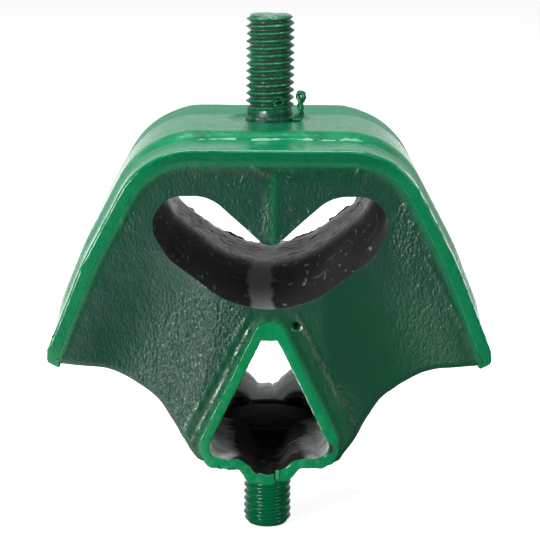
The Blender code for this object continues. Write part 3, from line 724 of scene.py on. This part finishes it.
# %% Pocket, web, seam and uneven paint
POCKET_RADIUS, POCKET_FLOOR, SEAT_TOP = 9.7, 20.8, 23.5
POCKET_UNDERSIDE, POCKET_TOP = 19.2, 19.8
WEB_Z = 47.9
BASE_TOP = 26.0     # higher than all of the base and its channel
CHIPS = (
    # x and z of the middle, half width across and up, reach
    (11.8, 26.6, 0.7, 1.6, 1.3),
    (-9.5, 23.0, 1.0, 1.0, 0.8),
    (-5.2, 21.0, 1.0, 1.0, 0.7),
)
lining, dust, chip, painted_glint = (tube.verts.layers.float.new(name)
                             for name in ("lining", "dust", "chip", "painted_glint"))
for vert in tube.verts:
    x, y, z = vert.co / MM
    behind = DEPTH / 2 - abs(y)
    outer_wall = (SHARP_APEX - z) * math.tan(TUBE_ANGLE)
    wall = outer_wall - (TUBE_SHEET - 0.25) / math.cos(TUBE_ANGLE)
    floor_z = TUBE_BASE_Z if abs(x) > 5.0 else CHANNEL_Z
    vert[chip] = ease(-y) * max(bump(math.hypot((x - cx) / wide, (z - cz) / high), reach)
                                for cx, cz, wide, high, reach in CHIPS)
    inner_edge = outer_wall - TUBE_SHEET / math.cos(TUBE_ANGLE)
    # painted highlight along the inner edge of the right flank's front
    vert[painted_glint] = bump(x - inner_edge, 0.7) * ease((0.6 - behind) / 0.4) * (y < 0) * (28.5 < z < 45)
    within = abs(x) < wall and z > floor_z + TUBE_SHEET - 0.3
    if within and behind > 0.15:
        vert[lining] = ease(behind / 1.0)
        # grey dust in a smear and in the bottom corners; the grey rising towards the rear is painted
        # light
        vert[dust] = max(1.3 * ease((y - 10) / 8) * (1 - 0.25 * ease((y - 25) / 6)),
                         0.9 * ease((abs(x) - 5.0) / 4) * ease((36 - z) / 7),
                         0.5 * bump(x + 5, 3) * bump(y - 20, 14))
    if WEB_Z < z < 50.4 and abs(x) < outer_wall - 1.3 / math.cos(TUBE_ANGLE):
        z += (WEB_Z + 0.15 * wave(vert.co, 1.8 * MM, 3) - z) * ease((4.0 - behind) / 1.5)
    if z < BASE_TOP and abs(x - SEAM_X) < 0.3:
        x += (SEAM_X - x) * 0.98
    if z < BASE_TOP and y < 0 and SEAM_X < x < 5.5:
        z += 0.95 * ease((4.6 - x) / 3.2) * ease((4.0 - behind) / 3)
    if z < BASE_TOP and y < 0 and x < SEAM_X:
        z += ease((3.0 - behind) / 2) * (0.42 * wave(vert.co, 1.5 * MM, 11) - 0.1)
    pocket = ease((POCKET_RADIUS + 1.2 - math.hypot(x, y)) / 0.9) if z < 25.5 else 0.0
    z += ((POCKET_UNDERSIDE if z < floor_z + TUBE_SHEET / 2 else POCKET_TOP) - z) * pocket
    vert.co = Vector((x, y, z)) * MM
tube.normal_update()
for vert in tube.verts:
    place = vert.co
    rim = bump(DEPTH / 2 - abs(place.y / MM), 3.0)
    low = ease((30 - place.z / MM) / 8)
    slow = 0.03 * wave(place, 6 * MM, 2)
    beads = rim * ((0.06 + 0.12 * low) * wave(place, 1.7 * MM, 6) + 0.06 * wave(place, 0.9 * MM, 9))
    vert.co += vert.normal * (slow + beads - 0.19 * rim) * MM
to_piece(tube, "tube", TUBE_MATERIAL, "tube_paint", "inner_bracket")

# %% The turned seat for the lower stud
SEAT_HOLE, SEAT_CHAMFER = 5.05, 0.4
profile = ((SEAT_HOLE, SEAT_Z), (SEAT_RADIUS - SEAT_CHAMFER, SEAT_Z),
           (SEAT_RADIUS, SEAT_Z + SEAT_CHAMFER), (SEAT_RADIUS, SEAT_TOP),
           (POCKET_RADIUS, SEAT_TOP), (POCKET_RADIUS, POCKET_FLOOR), (SEAT_HOLE, POCKET_FLOOR))
bm = bmesh.new()
lining = bm.verts.layers.float.new("lining")
verts = [bm.verts.new((r * MM, 0, z * MM)) for r, z in profile]
for vert in verts[3:]:
    vert[lining] = 1.0
loop = [bm.edges.new(pair) for pair in zip(verts, verts[1:] + verts[:1])]
bmesh.ops.spin(bm, geom=verts + loop, cent=(0, 0, 0), axis=(0, 0, 1), angle=2 * math.pi, steps=96,
               use_merge=True)
bmesh.ops.recalc_face_normals(bm, faces=bm.faces)
sharp = [e for e in bm.edges if e.calc_face_angle(0) > 0.7]
bmesh.ops.bevel(bm, geom=sharp, offset=0.2 * MM, segments=3, profile=0.5, affect="EDGES", material=-1)
to_piece(bm, "stud_seat", TUBE_MATERIAL, "tube_paint")

# %% [markdown]
# ## The rubber
#
# The rubber was moulded between the two steel pieces and bonded to them. It could be
# cut from a block with booleans, but a painted edge is round and a moulded one is
# ragged, and both are easier to give to an outline. So the block's outline and the
# hole's are each swept from the front to the rear, row by row, and every row may stand
# in or out a little. The two flat faces are then filled and sliced into small squares,
# which can be moulded.

# %% Sizes of the rubber, in millimetres
RUBBER_FACE = DEPTH / 2 - 0.5
HOLE_HALF = 22.7
HOLE_FLOOR = APEX_Z + 1.75
HOLE_TOP = RIM_Z - 8.6
FLOOR_ANGLE = math.radians(37)
BUMP_ANGLE = math.radians(42)
BUMP_TIP_Z = RIM_Z - 17.9
FLOOR_RADIUS, TIP_RADIUS = 20.0, 2.6
FREE_ROUND, HOLE_ROUND = 1.3, 0.4
UNDER = 0.55    # how far the block reaches into the rounded edge of the steel

floor_vertex = HOLE_FLOOR - FLOOR_RADIUS * (1 / math.cos(FLOOR_ANGLE) - 1)
END_X = HOLE_HALF - 3.2
floor_end = floor_vertex + END_X * math.tan(FLOOR_ANGLE)
tip_vertex = BUMP_TIP_Z - TIP_RADIUS * (1 / math.cos(BUMP_ANGLE) - 1)
lobe_x = (HOLE_TOP - tip_vertex) / math.tan(BUMP_ANGLE)
lobe = (
    (END_X, floor_end, 7.5),
    (HOLE_HALF, 68.6, 5.5),
    (HOLE_HALF - 0.3, HOLE_TOP, 6.0),
    (lobe_x, HOLE_TOP, 8.0),
)
hole_outline = rounded(((0, floor_vertex, FLOOR_RADIUS), *lobe, (0, tip_vertex, TIP_RADIUS),
                        *other_side(lobe)), closed=True)

# %% Outline of the block
foot_place, foot_outward = saddle_line(FOOT)
foot_corner = foot_place - foot_outward * SHEET
mid_turn = math.pi / 4 - TUBE_ANGLE / 2
to_middle = Vector((-math.cos(mid_turn), math.sin(mid_turn)))
corner_centre = Vector((TUBE_HALF, TUBE_BASE_Z)) + to_middle * (TUBE_CORNER / math.sin(mid_turn))
toe = corner_centre - to_middle * (TUBE_CORNER + 0.9)
under_turn = math.radians(60)
under_corner = corner_centre + Vector((math.cos(under_turn), -math.sin(under_turn))) * TUBE_CORNER
shoulder = []
for i in range(1, 113):
    place, outward = saddle_line(FOOT * i / 110)
    if place.y - outward.y * SHEET > foot_corner.y - 0.5:
        shoulder.append((place - outward * (SHEET - UNDER)) * MM)
free_edge = rounded((
    (shoulder[-1].x / MM + 0.1, foot_corner.y - 0.5, 0),
    (foot_corner.x - 9.5, foot_corner.y - 2.0, 12.0),
    (toe.x + 7.6, toe.y + 11.6, 12.0),
    (toe.x, toe.y, 1.5),
    (under_corner.x, under_corner.y, 0),
), closed=False)
tube_side = rounded((
    (under_corner.x + 0.2, under_corner.y + 0.6, 0),
    (corner_centre.x + (TUBE_CORNER - 0.3) * math.cos(TUBE_ANGLE),
     corner_centre.y + (TUBE_CORNER - 0.3) * math.sin(TUBE_ANGLE), 2.0),
    (0, SHARP_APEX - 0.3 / math.sin(TUBE_ANGLE), APEX_RADIUS - 0.3),
    (-TUBE_HALF / 2, (SHARP_APEX + TUBE_BASE_Z) / 2, 0),
), closed=False)
tube_side = [p for p in tube_side if p.x > 0.05 * MM]
half = shoulder + free_edge + tube_side
block_outline = half + [Vector((-p.x, p.y)) for p in reversed(half)]
block_free = [0.0] * len(shoulder) + [1.0] * len(free_edge) + [0.0] * len(tube_side)
block_free += block_free[::-1]
print("outline points:", len(block_outline), len(hole_outline))

# %% Sweep both outlines along the depth
def away_from_rubber(outline, sign):
    """Direction away from the rubber at each point of a closed outline."""
    area = sum(a.cross(b) for a, b in zip(outline, outline[1:] + outline[:1]))
    result = []
    for before, after in zip(outline[-1:] + outline[:-1], outline[1:] + outline[:1]):
        along = (after - before).normalized() * math.copysign(sign, area)
        result.append(Vector((along.y, -along.x)))
    return result


def rows_of_wall(radius):
    """Depth of each row of a wall and how far it stands back, for a rounded edge at both ends."""
    near = [(radius * (1 - math.cos(a)), radius * (1 - math.sin(a)))
            for a in (math.radians(15 * i) for i in range(7))]
    near += [(radius + 0.45 * i, 0.0) for i in range(1, 8)]
    inner = RUBBER_FACE - near[-1][0]
    return ([(y - RUBBER_FACE, inset) for y, inset in near]
            + [(-inner + 2 * inner * i / 28, 0.0) for i in range(1, 28)]
            + [(RUBBER_FACE - y, inset) for y, inset in reversed(near)])


def sweep(bm, outline, away, loose, shape, radius, bare):
    """Sweep an outline from front to rear, row by row; return its first and last loops."""
    place_number = bm.verts.layers.int["outline_place"]
    wall_depth = bm.verts.layers.float["hole_depth"]
    verts = [bm.verts.new() for _ in outline]
    edges = [bm.edges.new(pair) for pair in zip(verts, verts[1:] + verts[:1])]
    for i, vert in enumerate(verts):
        vert[place_number] = i
    first = edges
    for j, (y, inset) in enumerate(rows_of_wall(radius)):
        if j:
            swept = bmesh.ops.extrude_edge_only(bm, edges=edges)["geom"]
            verts = [v for v in swept if isinstance(v, bmesh.types.BMVert)]
            edges = [e for e in swept if isinstance(e, bmesh.types.BMEdge)]
        for vert in verts:
            i = vert[place_number]
            p = outline[i] + away[i] * (shape(outline[i] / MM, y) - inset * loose[i]) * MM
            vert.co = (p.x, y * MM, p.y)
            vert[wall_depth] = (y + RUBBER_FACE) * bare + bare - 1
    return first, edges


def hole_shape(p, y):
    """How far the hole's wall stands into the hole, in mm: its flash, trough and ripples."""
    place = Vector((p.x, y, p.y))
    on_bump = p.y > BUMP_TIP_Z - 1.5 + 0.18 * abs(p.x) and abs(p.x) < 10
    floor = 0.0 if on_bump else (ease((HOLE_TOP - 4.5 - p.y) / 3)
                                 * ease((HOLE_HALF + 0.5 - abs(p.x)) / 2 + 0.35))
    flash = bump(RUBBER_FACE - y, 2.2) * (0.45 + 0.5 * wave(place, 1.6, 3))
    trough = -0.55 * bump(y - 28.0, 8.0)
    return floor * (flash + trough) + 0.06 * wave(place, 5.0, 7)


def block_shape(p, y):
    """How far the block's free edges stand out, in mm."""
    return 0.10 * wave(Vector((p.x, y, p.y)), 2.6, 8)


bm = bmesh.new()
bm.verts.layers.int.new("outline_place")
bm.verts.layers.float.new("hole_depth")
away = away_from_rubber(block_outline, 1)
block_front, block_rear = sweep(bm, block_outline, away, block_free, block_shape, FREE_ROUND, bare=0.0)
away = away_from_rubber(hole_outline, -1)
hole_front, hole_rear = sweep(bm, hole_outline, away, [1.0] * len(hole_outline), hole_shape, HOLE_ROUND,
                              bare=1.0)
for vert in {v for e in hole_rear for v in e.verts}:
    vert[bm.verts.layers.float["hole_depth"]] = 0.0
faces = []
for contours in (block_front + hole_front, block_rear + hole_rear):
    filled = bmesh.ops.triangle_fill(bm, edges=contours, use_beauty=True, use_dissolve=False)
    faces.append([f for f in filled["geom"] if isinstance(f, bmesh.types.BMFace)])
print("walls and faces:", len(bm.faces))

# %% [markdown]
# Slicing the flat faces takes one plane at a time. Each plane only touches the faces
# that it crosses, so the cuts run in order from one side to the other and every face
# is looked at while the planes pass through it. The slanting edges that the filling
# left across the squares are dissolved after it.

# %% Slice the flat faces
def reach(face, axis):
    """Lowest and highest coordinate of a face along an axis."""
    values = [v.co[axis] for v in face.verts]
    return min(values), max(values)


def slice_faces(bm, faces, axis, cuts):
    """Cut flat faces by parallel planes and return all the pieces."""
    waiting = sorted(faces, key=lambda f: reach(f, axis)[0], reverse=True)
    done, active = [], []
    normal = Vector([float(i == axis) for i in range(3)])
    for at in cuts:
        while waiting and reach(waiting[-1], axis)[0] < at:
            active.append(waiting.pop())
        crossing = [f for f in active if reach(f, axis)[1] > at + 0.001 * MM]
        crossed = set(crossing)
        done += [f for f in active if f not in crossed]
        geom = (crossed | {e for f in crossing for e in f.edges}
                | {v for f in crossing for v in f.verts})
        cut = bmesh.ops.bisect_plane(bm, geom=list(geom), plane_co=normal * at, plane_no=normal)
        pieces = [f for f in cut["geom"] if isinstance(f, bmesh.types.BMFace)]
        active = [f for f in pieces if f.calc_center_bounds()[axis] > at]
        done += [f for f in pieces if f.calc_center_bounds()[axis] <= at]
    return done + active + waiting


GRID = 0.45
for side in faces:
    for axis, low, high in ((0, -42.0, 42.0), (2, 22.0, 83.0)):
        count = round((high - low) / GRID)
        cuts = [(low + (high - low) * i / count) * MM for i in range(count)]
        side[:] = slice_faces(bm, side, axis, cuts)
flat = set(faces[0]) | set(faces[1])
slanting = [e for e in bm.edges if len(e.link_faces) == 2 and flat.issuperset(e.link_faces)
            and min(abs(e.verts[0].co[i] - e.verts[1].co[i]) for i in (0, 2)) > 0.005 * MM]
bmesh.ops.dissolve_edges(bm, edges=slanting, use_verts=True, use_face_split=False)
bmesh.ops.recalc_face_normals(bm, faces=bm.faces)
print("sliced:", len(bm.faces))

# %% [markdown]
# Now the faces are moulded. The legs are hollowed by a long shallow valley, the same on
# the front and the rear. A rule gives the depth at every place, and each point's
# distance from the middle plane is scaled by it. The finer marks lie on the front
# only: a rib down the bump stop, a flat band beside the tube, lines where the rubber
# met as it flowed, and blisters.

# %% Rules for the hollows and the small marks
VALLEY_DEPTH, VALLEY_WIDTH, VALLEY_REACH = 4.0, 27.0, 64.0
VALLEY_ANGLE = math.radians(24.5)
VALLEY_RADIUS = (VALLEY_WIDTH ** 2 / 4 + VALLEY_DEPTH ** 2) / (2 * VALLEY_DEPTH)
valley_middle = (foot_corner + toe) / 2 + Vector((2.0, 0))


def valley_depth(x, z):
    """Depth of the hollow in a leg, in mm."""
    offset = Vector((abs(x), z)) - valley_middle
    across = offset.x * math.cos(VALLEY_ANGLE) + offset.y * math.sin(VALLEY_ANGLE)
    along = -offset.x * math.sin(VALLEY_ANGLE) + offset.y * math.cos(VALLEY_ANGLE)
    outward = max(across, 0.0)
    inside = 1 - ((across - outward) / VALLEY_RADIUS) ** 2 - (along / VALLEY_REACH) ** 2
    if inside <= 0:
        return 0.0
    depth = max(0.0, VALLEY_DEPTH - VALLEY_RADIUS * (1 - math.sqrt(inside)))
    depth *= 1.12 * depth / (depth + 0.5)       # no crease where the hollow begins
    return depth * (0.5 + 0.5 * math.cos(math.pi * min(outward / 14.5, 1.0)))


def segment(x, z, a, b):
    """Distance from a line between two places, in mm."""
    p, a, b = Vector((x, z)), Vector(a), Vector(b)
    t = min(max((p - a).dot(b - a) / (b - a).length_squared, 0.0), 1.0)
    return (p - a.lerp(b, t)).length


# glossy lines under the hole and along the tube's left flank
WET_LINES = ((-14.2, 59.0), (-7.6, 55.2)), ((-3.9, 49.8), (-15.2, 26.4))
# where a leg's face meets the flat band beside the tube, left and right
LEFT_FOLD, RIGHT_FOLD = ((-3.7, 53.2), (-13.9, 33.9)), ((5.2, 53.2), (16.6, 31.0))
RIDGES = (
    # line of (x, z) corners, half width, height, in mm
    (LEFT_FOLD, 0.55, 0.34),
    (RIGHT_FOLD, 0.55, 0.30),
    (((-3.3, 81.6), (0.8, 79.3), (7.2, 78.6), (13.7, 79.3), (17.9, 81.2)), 0.45, 0.26),
    (((4.0, 81.0), (9.0, 80.0), (14.0, 80.6)), 0.40, 0.22),
    (WET_LINES[0], 0.80, 0.18),
    (((29.8, 63.9), (36.8, 50.7)), 0.80, 0.28),
    (WET_LINES[1], 0.60, 0.30),
)
BLISTERS = (
    # x, z, radius, height
    (16.6, 80.6, 0.8, 0.35), (-16.8, 51.8, 0.7, 0.3), (-18.7, 43.9, 0.8, 0.3), (4.9, 56.0, 0.6, 0.4),
    (-27.0, 74.5, 0.9, 0.4), (-27.6, 71.0, 0.7, 0.35), (25.6, 74.0, 0.9, 0.35), (26.8, 70.0, 0.8, 0.4),
)
SCRATCH_RINGS = ((4.4, 71.6, 1.5), (3.4, 73.4, 1.0), (5.4, 69.8, 0.8))
PINHOLE = (5.1, 50.7)
HIGHEST_MARK = 0.42


def front_marks(x, z):
    """Small forms of the front face, in mm towards the viewer."""
    rise = 0.0
    if 67.5 < z < 80 and abs(x) < 9:
        rise += 0.28 * bump(x - 0.4, 2.4) * ease((z - 66.0) / 3.0) * ease((80 - z) / 6)
        rise += 0.22 * ease((BUMP_TIP_Z + 8 - z) / 8) * ease((6.5 - abs(x)) / 6.5)
        for cx, cz, radius in SCRATCH_RINGS:
            rise += 0.10 * bump(math.hypot(x - cx, z - cz) - radius, 0.5)
    for line, width, height in RIDGES:
        if min(p[0] for p in line) - 2 < x < max(p[0] for p in line) + 2:
            away = min(segment(x, z, a, b) for a, b in zip(line, line[1:]))
            uneven = 0.45 + 0.55 * ease(0.5 + wave(Vector((x, z, 0)), 2.0, 23))
            rise += height * uneven * bump(away, width)
    for cx, cz, radius, height in BLISTERS:
        rise += height * bump(math.hypot(x - cx, z - cz), radius)
    rise -= 1.6 * ease((0.75 - math.hypot(x - PINHOLE[0], z - PINHOLE[1])) / 0.35)
    return min(rise, HIGHEST_MARK)

# %% [markdown]
# Each point of the front then gets its attributes, by rules of its distance from the
# saddle, the tube and the folds, and of where on the face it lies.

# %% Where the paint is thick, wrinkled, stained or wet
thick_paint_and_top_light, wrinkle, stain, wet, smear = (bm.verts.layers.float.new(name)
                                     for name in ("thick_paint_and_top_light", "wrinkle", "stain", "wet", "smear"))


def steel_distance(x, z):
    """Rough distance in mm from the saddle's inner edge."""
    if abs(x) < TOP_HALF and z > 70:
        return max(RIM_Z - SHEET - z, 0.0)
    return max(min((Vector((abs(x), z)) - p / MM).length for p in shoulder[::2]) - UNDER, 0.0)


def tube_distance(x, z):
    """Rough distance in mm from the tube's flank."""
    if abs(x) > 22 or z > 58:
        return 9.0
    return max(min((Vector((abs(x), z)) - p / MM).length for p in tube_side[::2]) - 0.3, 0.0)


lips = {}       # how far the paint laps from the steel on to the rubber, by point
for vert in bm.verts:
    x, y, z = vert.co / MM
    if y > -RUBBER_FACE + 2:
        vert[thick_paint_and_top_light], vert[wrinkle] = 0.3, 0.4
        # the grey smear down the hole's floor, partly a painted highlight
        behind = (y + RUBBER_FACE) / (2 * RUBBER_FACE)
        trail = -0.9 - 6.0 * behind * (1 - behind) + 2.6 * behind ** 2
        vert[smear] = bump(x - trail, 3.6) if z < HOLE_FLOOR + 6 else 0.0
        continue
    ridge = segment(x, z, *(LEFT_FOLD if x < 0 else RIGHT_FOLD))
    steel = steel_distance(x, z)
    in_band = z < 54 and abs(x) < (53.2 - z) * 0.53 + 4.5
    lips[vert] = max(ease((1.4 - steel) / 1.4), ease((1.4 - tube_distance(x, z)) / 1.4))
    rib = bump(x - 0.5, 2.2) * ease((z - 64) / 3) * ease((82 - z) / 3)
    vert[thick_paint_and_top_light] = max(1.3 * rib, 0.7 if in_band else 0.0, 1.5 * lips[vert],
                      0.9 * ease((1.9 - steel) / 1.7) if z < 76 else 0.7 * ease((1.4 - steel) / 1.4),
                      0.55 * ease((x - 2) / 8) * ease((62 - z) / 8),
                      0.45 * ease((52 - z) / 10) * ease((1.0 - abs(x + 27) / 9)))
    streak = min(segment(x, z, *line) for line in WET_LINES)
    gaps = ease(0.35 + 1.5 * wave(vert.co, 1.6 * MM, 19))
    vert[wet] = max(0.9 * gaps * bump(streak, 0.9), (0.8 if x < 0 else 0.5) * bump(ridge, 0.8),
                    0.6 * bump(z - 79.6, 2.5) * ease((x + 3) / 3) * ease((18 - x) / 3))
    left_zone = ease((-4 - x) / 4) * ease((63 - z) / 10) * ease((22 - ridge) / 16)
    vert[wrinkle] = min(1.0, 0.16 + 0.06 * ease((z - 60) / 6) + 0.84 * left_zone
                        + 0.4 * bump(math.hypot((x - 25.5) / 2.8, (z - 69) / 7.0), 1.4)
                        + 0.5 * bump(math.hypot((x + 27.3) / 1.8, (z - 73) / 5), 1.3)
                        + 0.24 * bump(math.hypot((x - 30) / 8, (z - 56) / 15), 1.5))
    if in_band:
        vert[wrinkle] = 0.18 if x < 0 else 0.14
    vert[wrinkle] *= 1 - lips[vert]
    ragged = 0.35 + 0.65 * ease(0.5 + 0.9 * wave(vert.co, 3.2 * MM, 17))
    along_steel = bump(steel - 0.9 - ragged, 1.5) * (0.35 + 0.65 * ease((z - 76) / 4))
    vert[stain] = max(0.9 * along_steel * ragged, bump(ridge, 0.8) if x > 0 else 0.0)

# %% Move the points of both faces
for vert in bm.verts:
    x, y, z = vert.co / MM
    depth = valley_depth(x, z)
    y *= 1 - depth / RUBBER_FACE
    if y < -RUBBER_FACE + depth + 1.0:
        surface = ease((-RUBBER_FACE + depth + 1.0 - y) / 0.9)
        grain = (0.05 * wave(vert.co, 3.5 * MM, 5)
                 + (0.015 + 0.05 * vert[wrinkle]) * wave(vert.co, 1.3 * MM, 2))
        y -= surface * min(front_marks(x, z) + grain + 0.27 * lips.get(vert, 0.0), 0.44)
    vert.co.y = y * MM
to_piece(bm, "rubber_block", RUBBER_MATERIAL, "rubber", "rubber_body")

# %% [markdown]
# ## The studs
#
# Both studs carry an M10 thread with a pitch of 1.5 mm. A thread is the outline of one
# side of the screw, spun round the axis while it climbs by one pitch: the spin operator
# does that with its dvec setting. After a full turn every point lands on the start of
# the next thread, so the seam is merged, and two planes cut the ends square. Paint has
# filled the lower thread more than the upper one, so their outlines differ.

# %% Cut a thread
PITCH = 1.5
STUD_RADIUS = 5.0
STEPS = 96


def thread(low, high, depth, sharpness):
    """A threaded rod between two heights in mm, as a closed bmesh; a thread has 10 points."""
    bm = bmesh.new()
    turns = math.ceil((high - low) / PITCH) + 3
    row = []
    for i in range(turns * 10 + 1):
        groove = (0.5 - 0.5 * math.cos(2 * math.pi * i / 10)) ** sharpness
        height = low - 2 * PITCH + i * PITCH / 10
        row.append(bm.verts.new(Vector((STUD_RADIUS - depth * groove, 0, height)) * MM))
    line = [bm.edges.new(pair) for pair in zip(row, row[1:])]
    bmesh.ops.spin(bm, geom=row + line, cent=(0, 0, 0), axis=(0, 0, 1), angle=2 * math.pi,
                   dvec=(0, 0, PITCH * MM / STEPS), steps=STEPS, use_merge=False)
    bmesh.ops.remove_doubles(bm, verts=bm.verts, dist=0.01 * MM)
    for height, normal in ((low, -1), (high, 1)):
        geom = bm.verts[:] + bm.edges[:] + bm.faces[:]
        bmesh.ops.bisect_plane(bm, geom=geom, plane_co=(0, 0, height * MM), plane_no=(0, 0, normal),
                               clear_outer=True)
        rim = [e for e in bm.edges
               if e.is_boundary and all(abs(v.co.z - height * MM) < 1e-7 for v in e.verts)]
        cap = bmesh.ops.edgeloop_fill(bm, edges=rim)["faces"]
        for inset in (0.5, 1.2):
            bmesh.ops.inset_region(bm, faces=cap, thickness=inset * MM, use_even_offset=True)
    bmesh.ops.recalc_face_normals(bm, faces=bm.faces)
    return bm

# %% The upper stud
UPPER_END = 107.2
NECK_Z = 87.9
bm = thread(low=79.9, high=UPPER_END, depth=0.85, sharpness=0.8)
root = bm.verts.layers.float.new("root")
for vert in bm.verts:
    x, y, z = vert.co / MM
    radius = math.hypot(x, y)
    if radius < 0.01:
        continue
    new = radius
    if radius > 3.5:
        threaded = ease((z - NECK_Z) / 0.8)
        neck = 4.55 + 0.12 * wave(vert.co, 2.0 * MM, 8) + 0.5 * ease((86.7 - z) / 0.7)
        crest = ease((radius - 4.45) / 0.5)
        rough = crest * (0.10 * wave(vert.co, 0.9 * MM, 3) + 0.05 * wave(vert.co, 3 * MM, 6)) - 0.10
        vert[root] = (1 - crest) * threaded
        new = neck + (radius + rough - neck) * threaded
    new = min(new, STUD_RADIUS - 0.02 - max(0.0, z - UPPER_END + 1.1) * 0.85)
    vert.co.x, vert.co.y = x * new / radius * MM, y * new / radius * MM
    vert.co.z += ease((z - UPPER_END + 0.6) / 0.6) * 0.10 * (wave(vert.co, 2.2 * MM, 5) - 0.8) * MM
to_piece(bm, "upper_thread", UPPER_THREAD_MATERIAL, "upper_thread_paint", "upper_stud")

# %% [markdown]
# Beside the upper stud stands a curl of swarf, and a thin loop of paint dried on the
# thread. Both are wires: a NURBS line with a round section, made a mesh and roughened.

# %% The curl of swarf and the loop of paint
def wire(name, places, radius):
    """A closed bmesh of a round wire that passes smoothly through places in mm."""
    curve = bpy.data.curves.new(name, "CURVE")
    curve.dimensions = "3D"
    curve.bevel_depth = radius * MM
    curve.bevel_resolution = 3
    curve.resolution_u = 8
    curve.use_fill_caps = True
    line = curve.splines.new("NURBS")
    line.points.add(len(places) - 1)
    for point, place in zip(line.points, places):
        point.co = (*(Vector(place) * MM), 1.0)
    line.use_endpoint_u = True
    item = bpy.data.objects.new(name, curve)
    bpy.context.scene.collection.objects.link(item)
    graph = bpy.context.evaluated_depsgraph_get()
    mesh = bpy.data.meshes.new_from_object(item.evaluated_get(graph))
    bm = bmesh.new()
    bm.from_mesh(mesh)
    bpy.data.objects.remove(item)
    bpy.data.curves.remove(curve)
    bpy.data.meshes.remove(mesh)
    for vert in bm.verts:
        vert.co += vert.normal * 0.12 * wave(vert.co, 0.7 * MM, 4) * MM
    return bm


CURL = ((4.6, -2.6, 85.9), (5.2, -2.4, 86.3), (6.0, -2.6, 87.5), (6.6, -2.3, 88.8), (6.0, -1.9, 90.0),
        (5.5, -1.6, 90.9), (5.9, -1.8, 91.7), (6.7, -2.1, 91.5), (6.9, -2.4, 90.6), (6.5, -1.6, 89.7),
        (5.8, -1.4, 88.9), (6.1, -1.7, 87.9), (6.7, -2.0, 87.1), (6.2, -2.6, 86.1), (5.0, -3.0, 85.9))
LOOP = ((0.4, -4.75, 90.0), (0.8, -5.0, 90.8), (1.6, -5.05, 91.0), (2.5, -4.7, 90.6), (2.8, -4.5, 89.8),
        (2.0, -4.85, 89.0), (1.0, -5.0, 89.1), (0.5, -4.8, 89.7), (1.4, -4.95, 90.2))
for name, places, radius in (("swarf_curl", CURL, 0.46), ("paint_loop", LOOP, 0.17)):
    to_piece(wire(name, places, radius), name, LOWER_THREAD_MATERIAL, "upper_thread_paint")

# %% The head of the upper stud
def disc(radius, height, middle_z, segments):
    """A round plate on the studs' line, in mm, as a bmesh."""
    bm = bmesh.new()
    bmesh.ops.create_cone(bm, cap_ends=True, segments=segments, radius1=radius * MM,
                          radius2=radius * MM, depth=height * MM,
                          matrix=Matrix.Translation((0, 0, middle_z * MM)))
    return bm


bm = disc(radius=9.0, height=2.8, middle_z=81.4, segments=64)
to_piece(bm, "upper_head", HEAD_MATERIAL, "upper_thread_paint")

# %% The lower stud
bm = thread(low=0.0, high=21.1, depth=0.72, sharpness=0.95)
for vert in bm.verts:
    x, y, z = vert.co / MM
    radius = math.hypot(x, y)
    if radius < 0.01:
        continue
    new = radius + (0.04 * wave(vert.co, 2.4 * MM, 4) - 0.04 if radius > 3.5 else 0.0)
    new = min(new, STUD_RADIUS - 0.05 - max(0.0, 1.3 - z) * 0.8)
    vert.co.x, vert.co.y = x * new / radius * MM, y * new / radius * MM
    vert.co.z += 0.04 * MM if z < 0.1 else 0.0
to_piece(bm, "lower_thread", LOWER_THREAD_MATERIAL, "lower_thread_paint", "lower_stud")

# %% The head of the lower stud
bm = disc(radius=9.3, height=2.3, middle_z=22.25, segments=96)
rim = [e for e in bm.edges if e.calc_face_angle(0) > 1]
bmesh.ops.bevel(bm, geom=rim, offset=0.7 * MM, segments=5, profile=0.5, affect="EDGES", material=-1)
cap = [f for f in bm.faces if f.normal.z > 0.99]
for inset in (1.8, 2.4, 2.2):
    bmesh.ops.inset_region(bm, faces=cap, thickness=inset * MM, use_even_offset=True)
    bmesh.ops.translate(bm, verts=list({v for f in cap for v in f.verts}), vec=(0, 0, 0.15 * MM))
to_piece(bm, "lower_head", HEAD_MATERIAL, "lower_thread_paint")
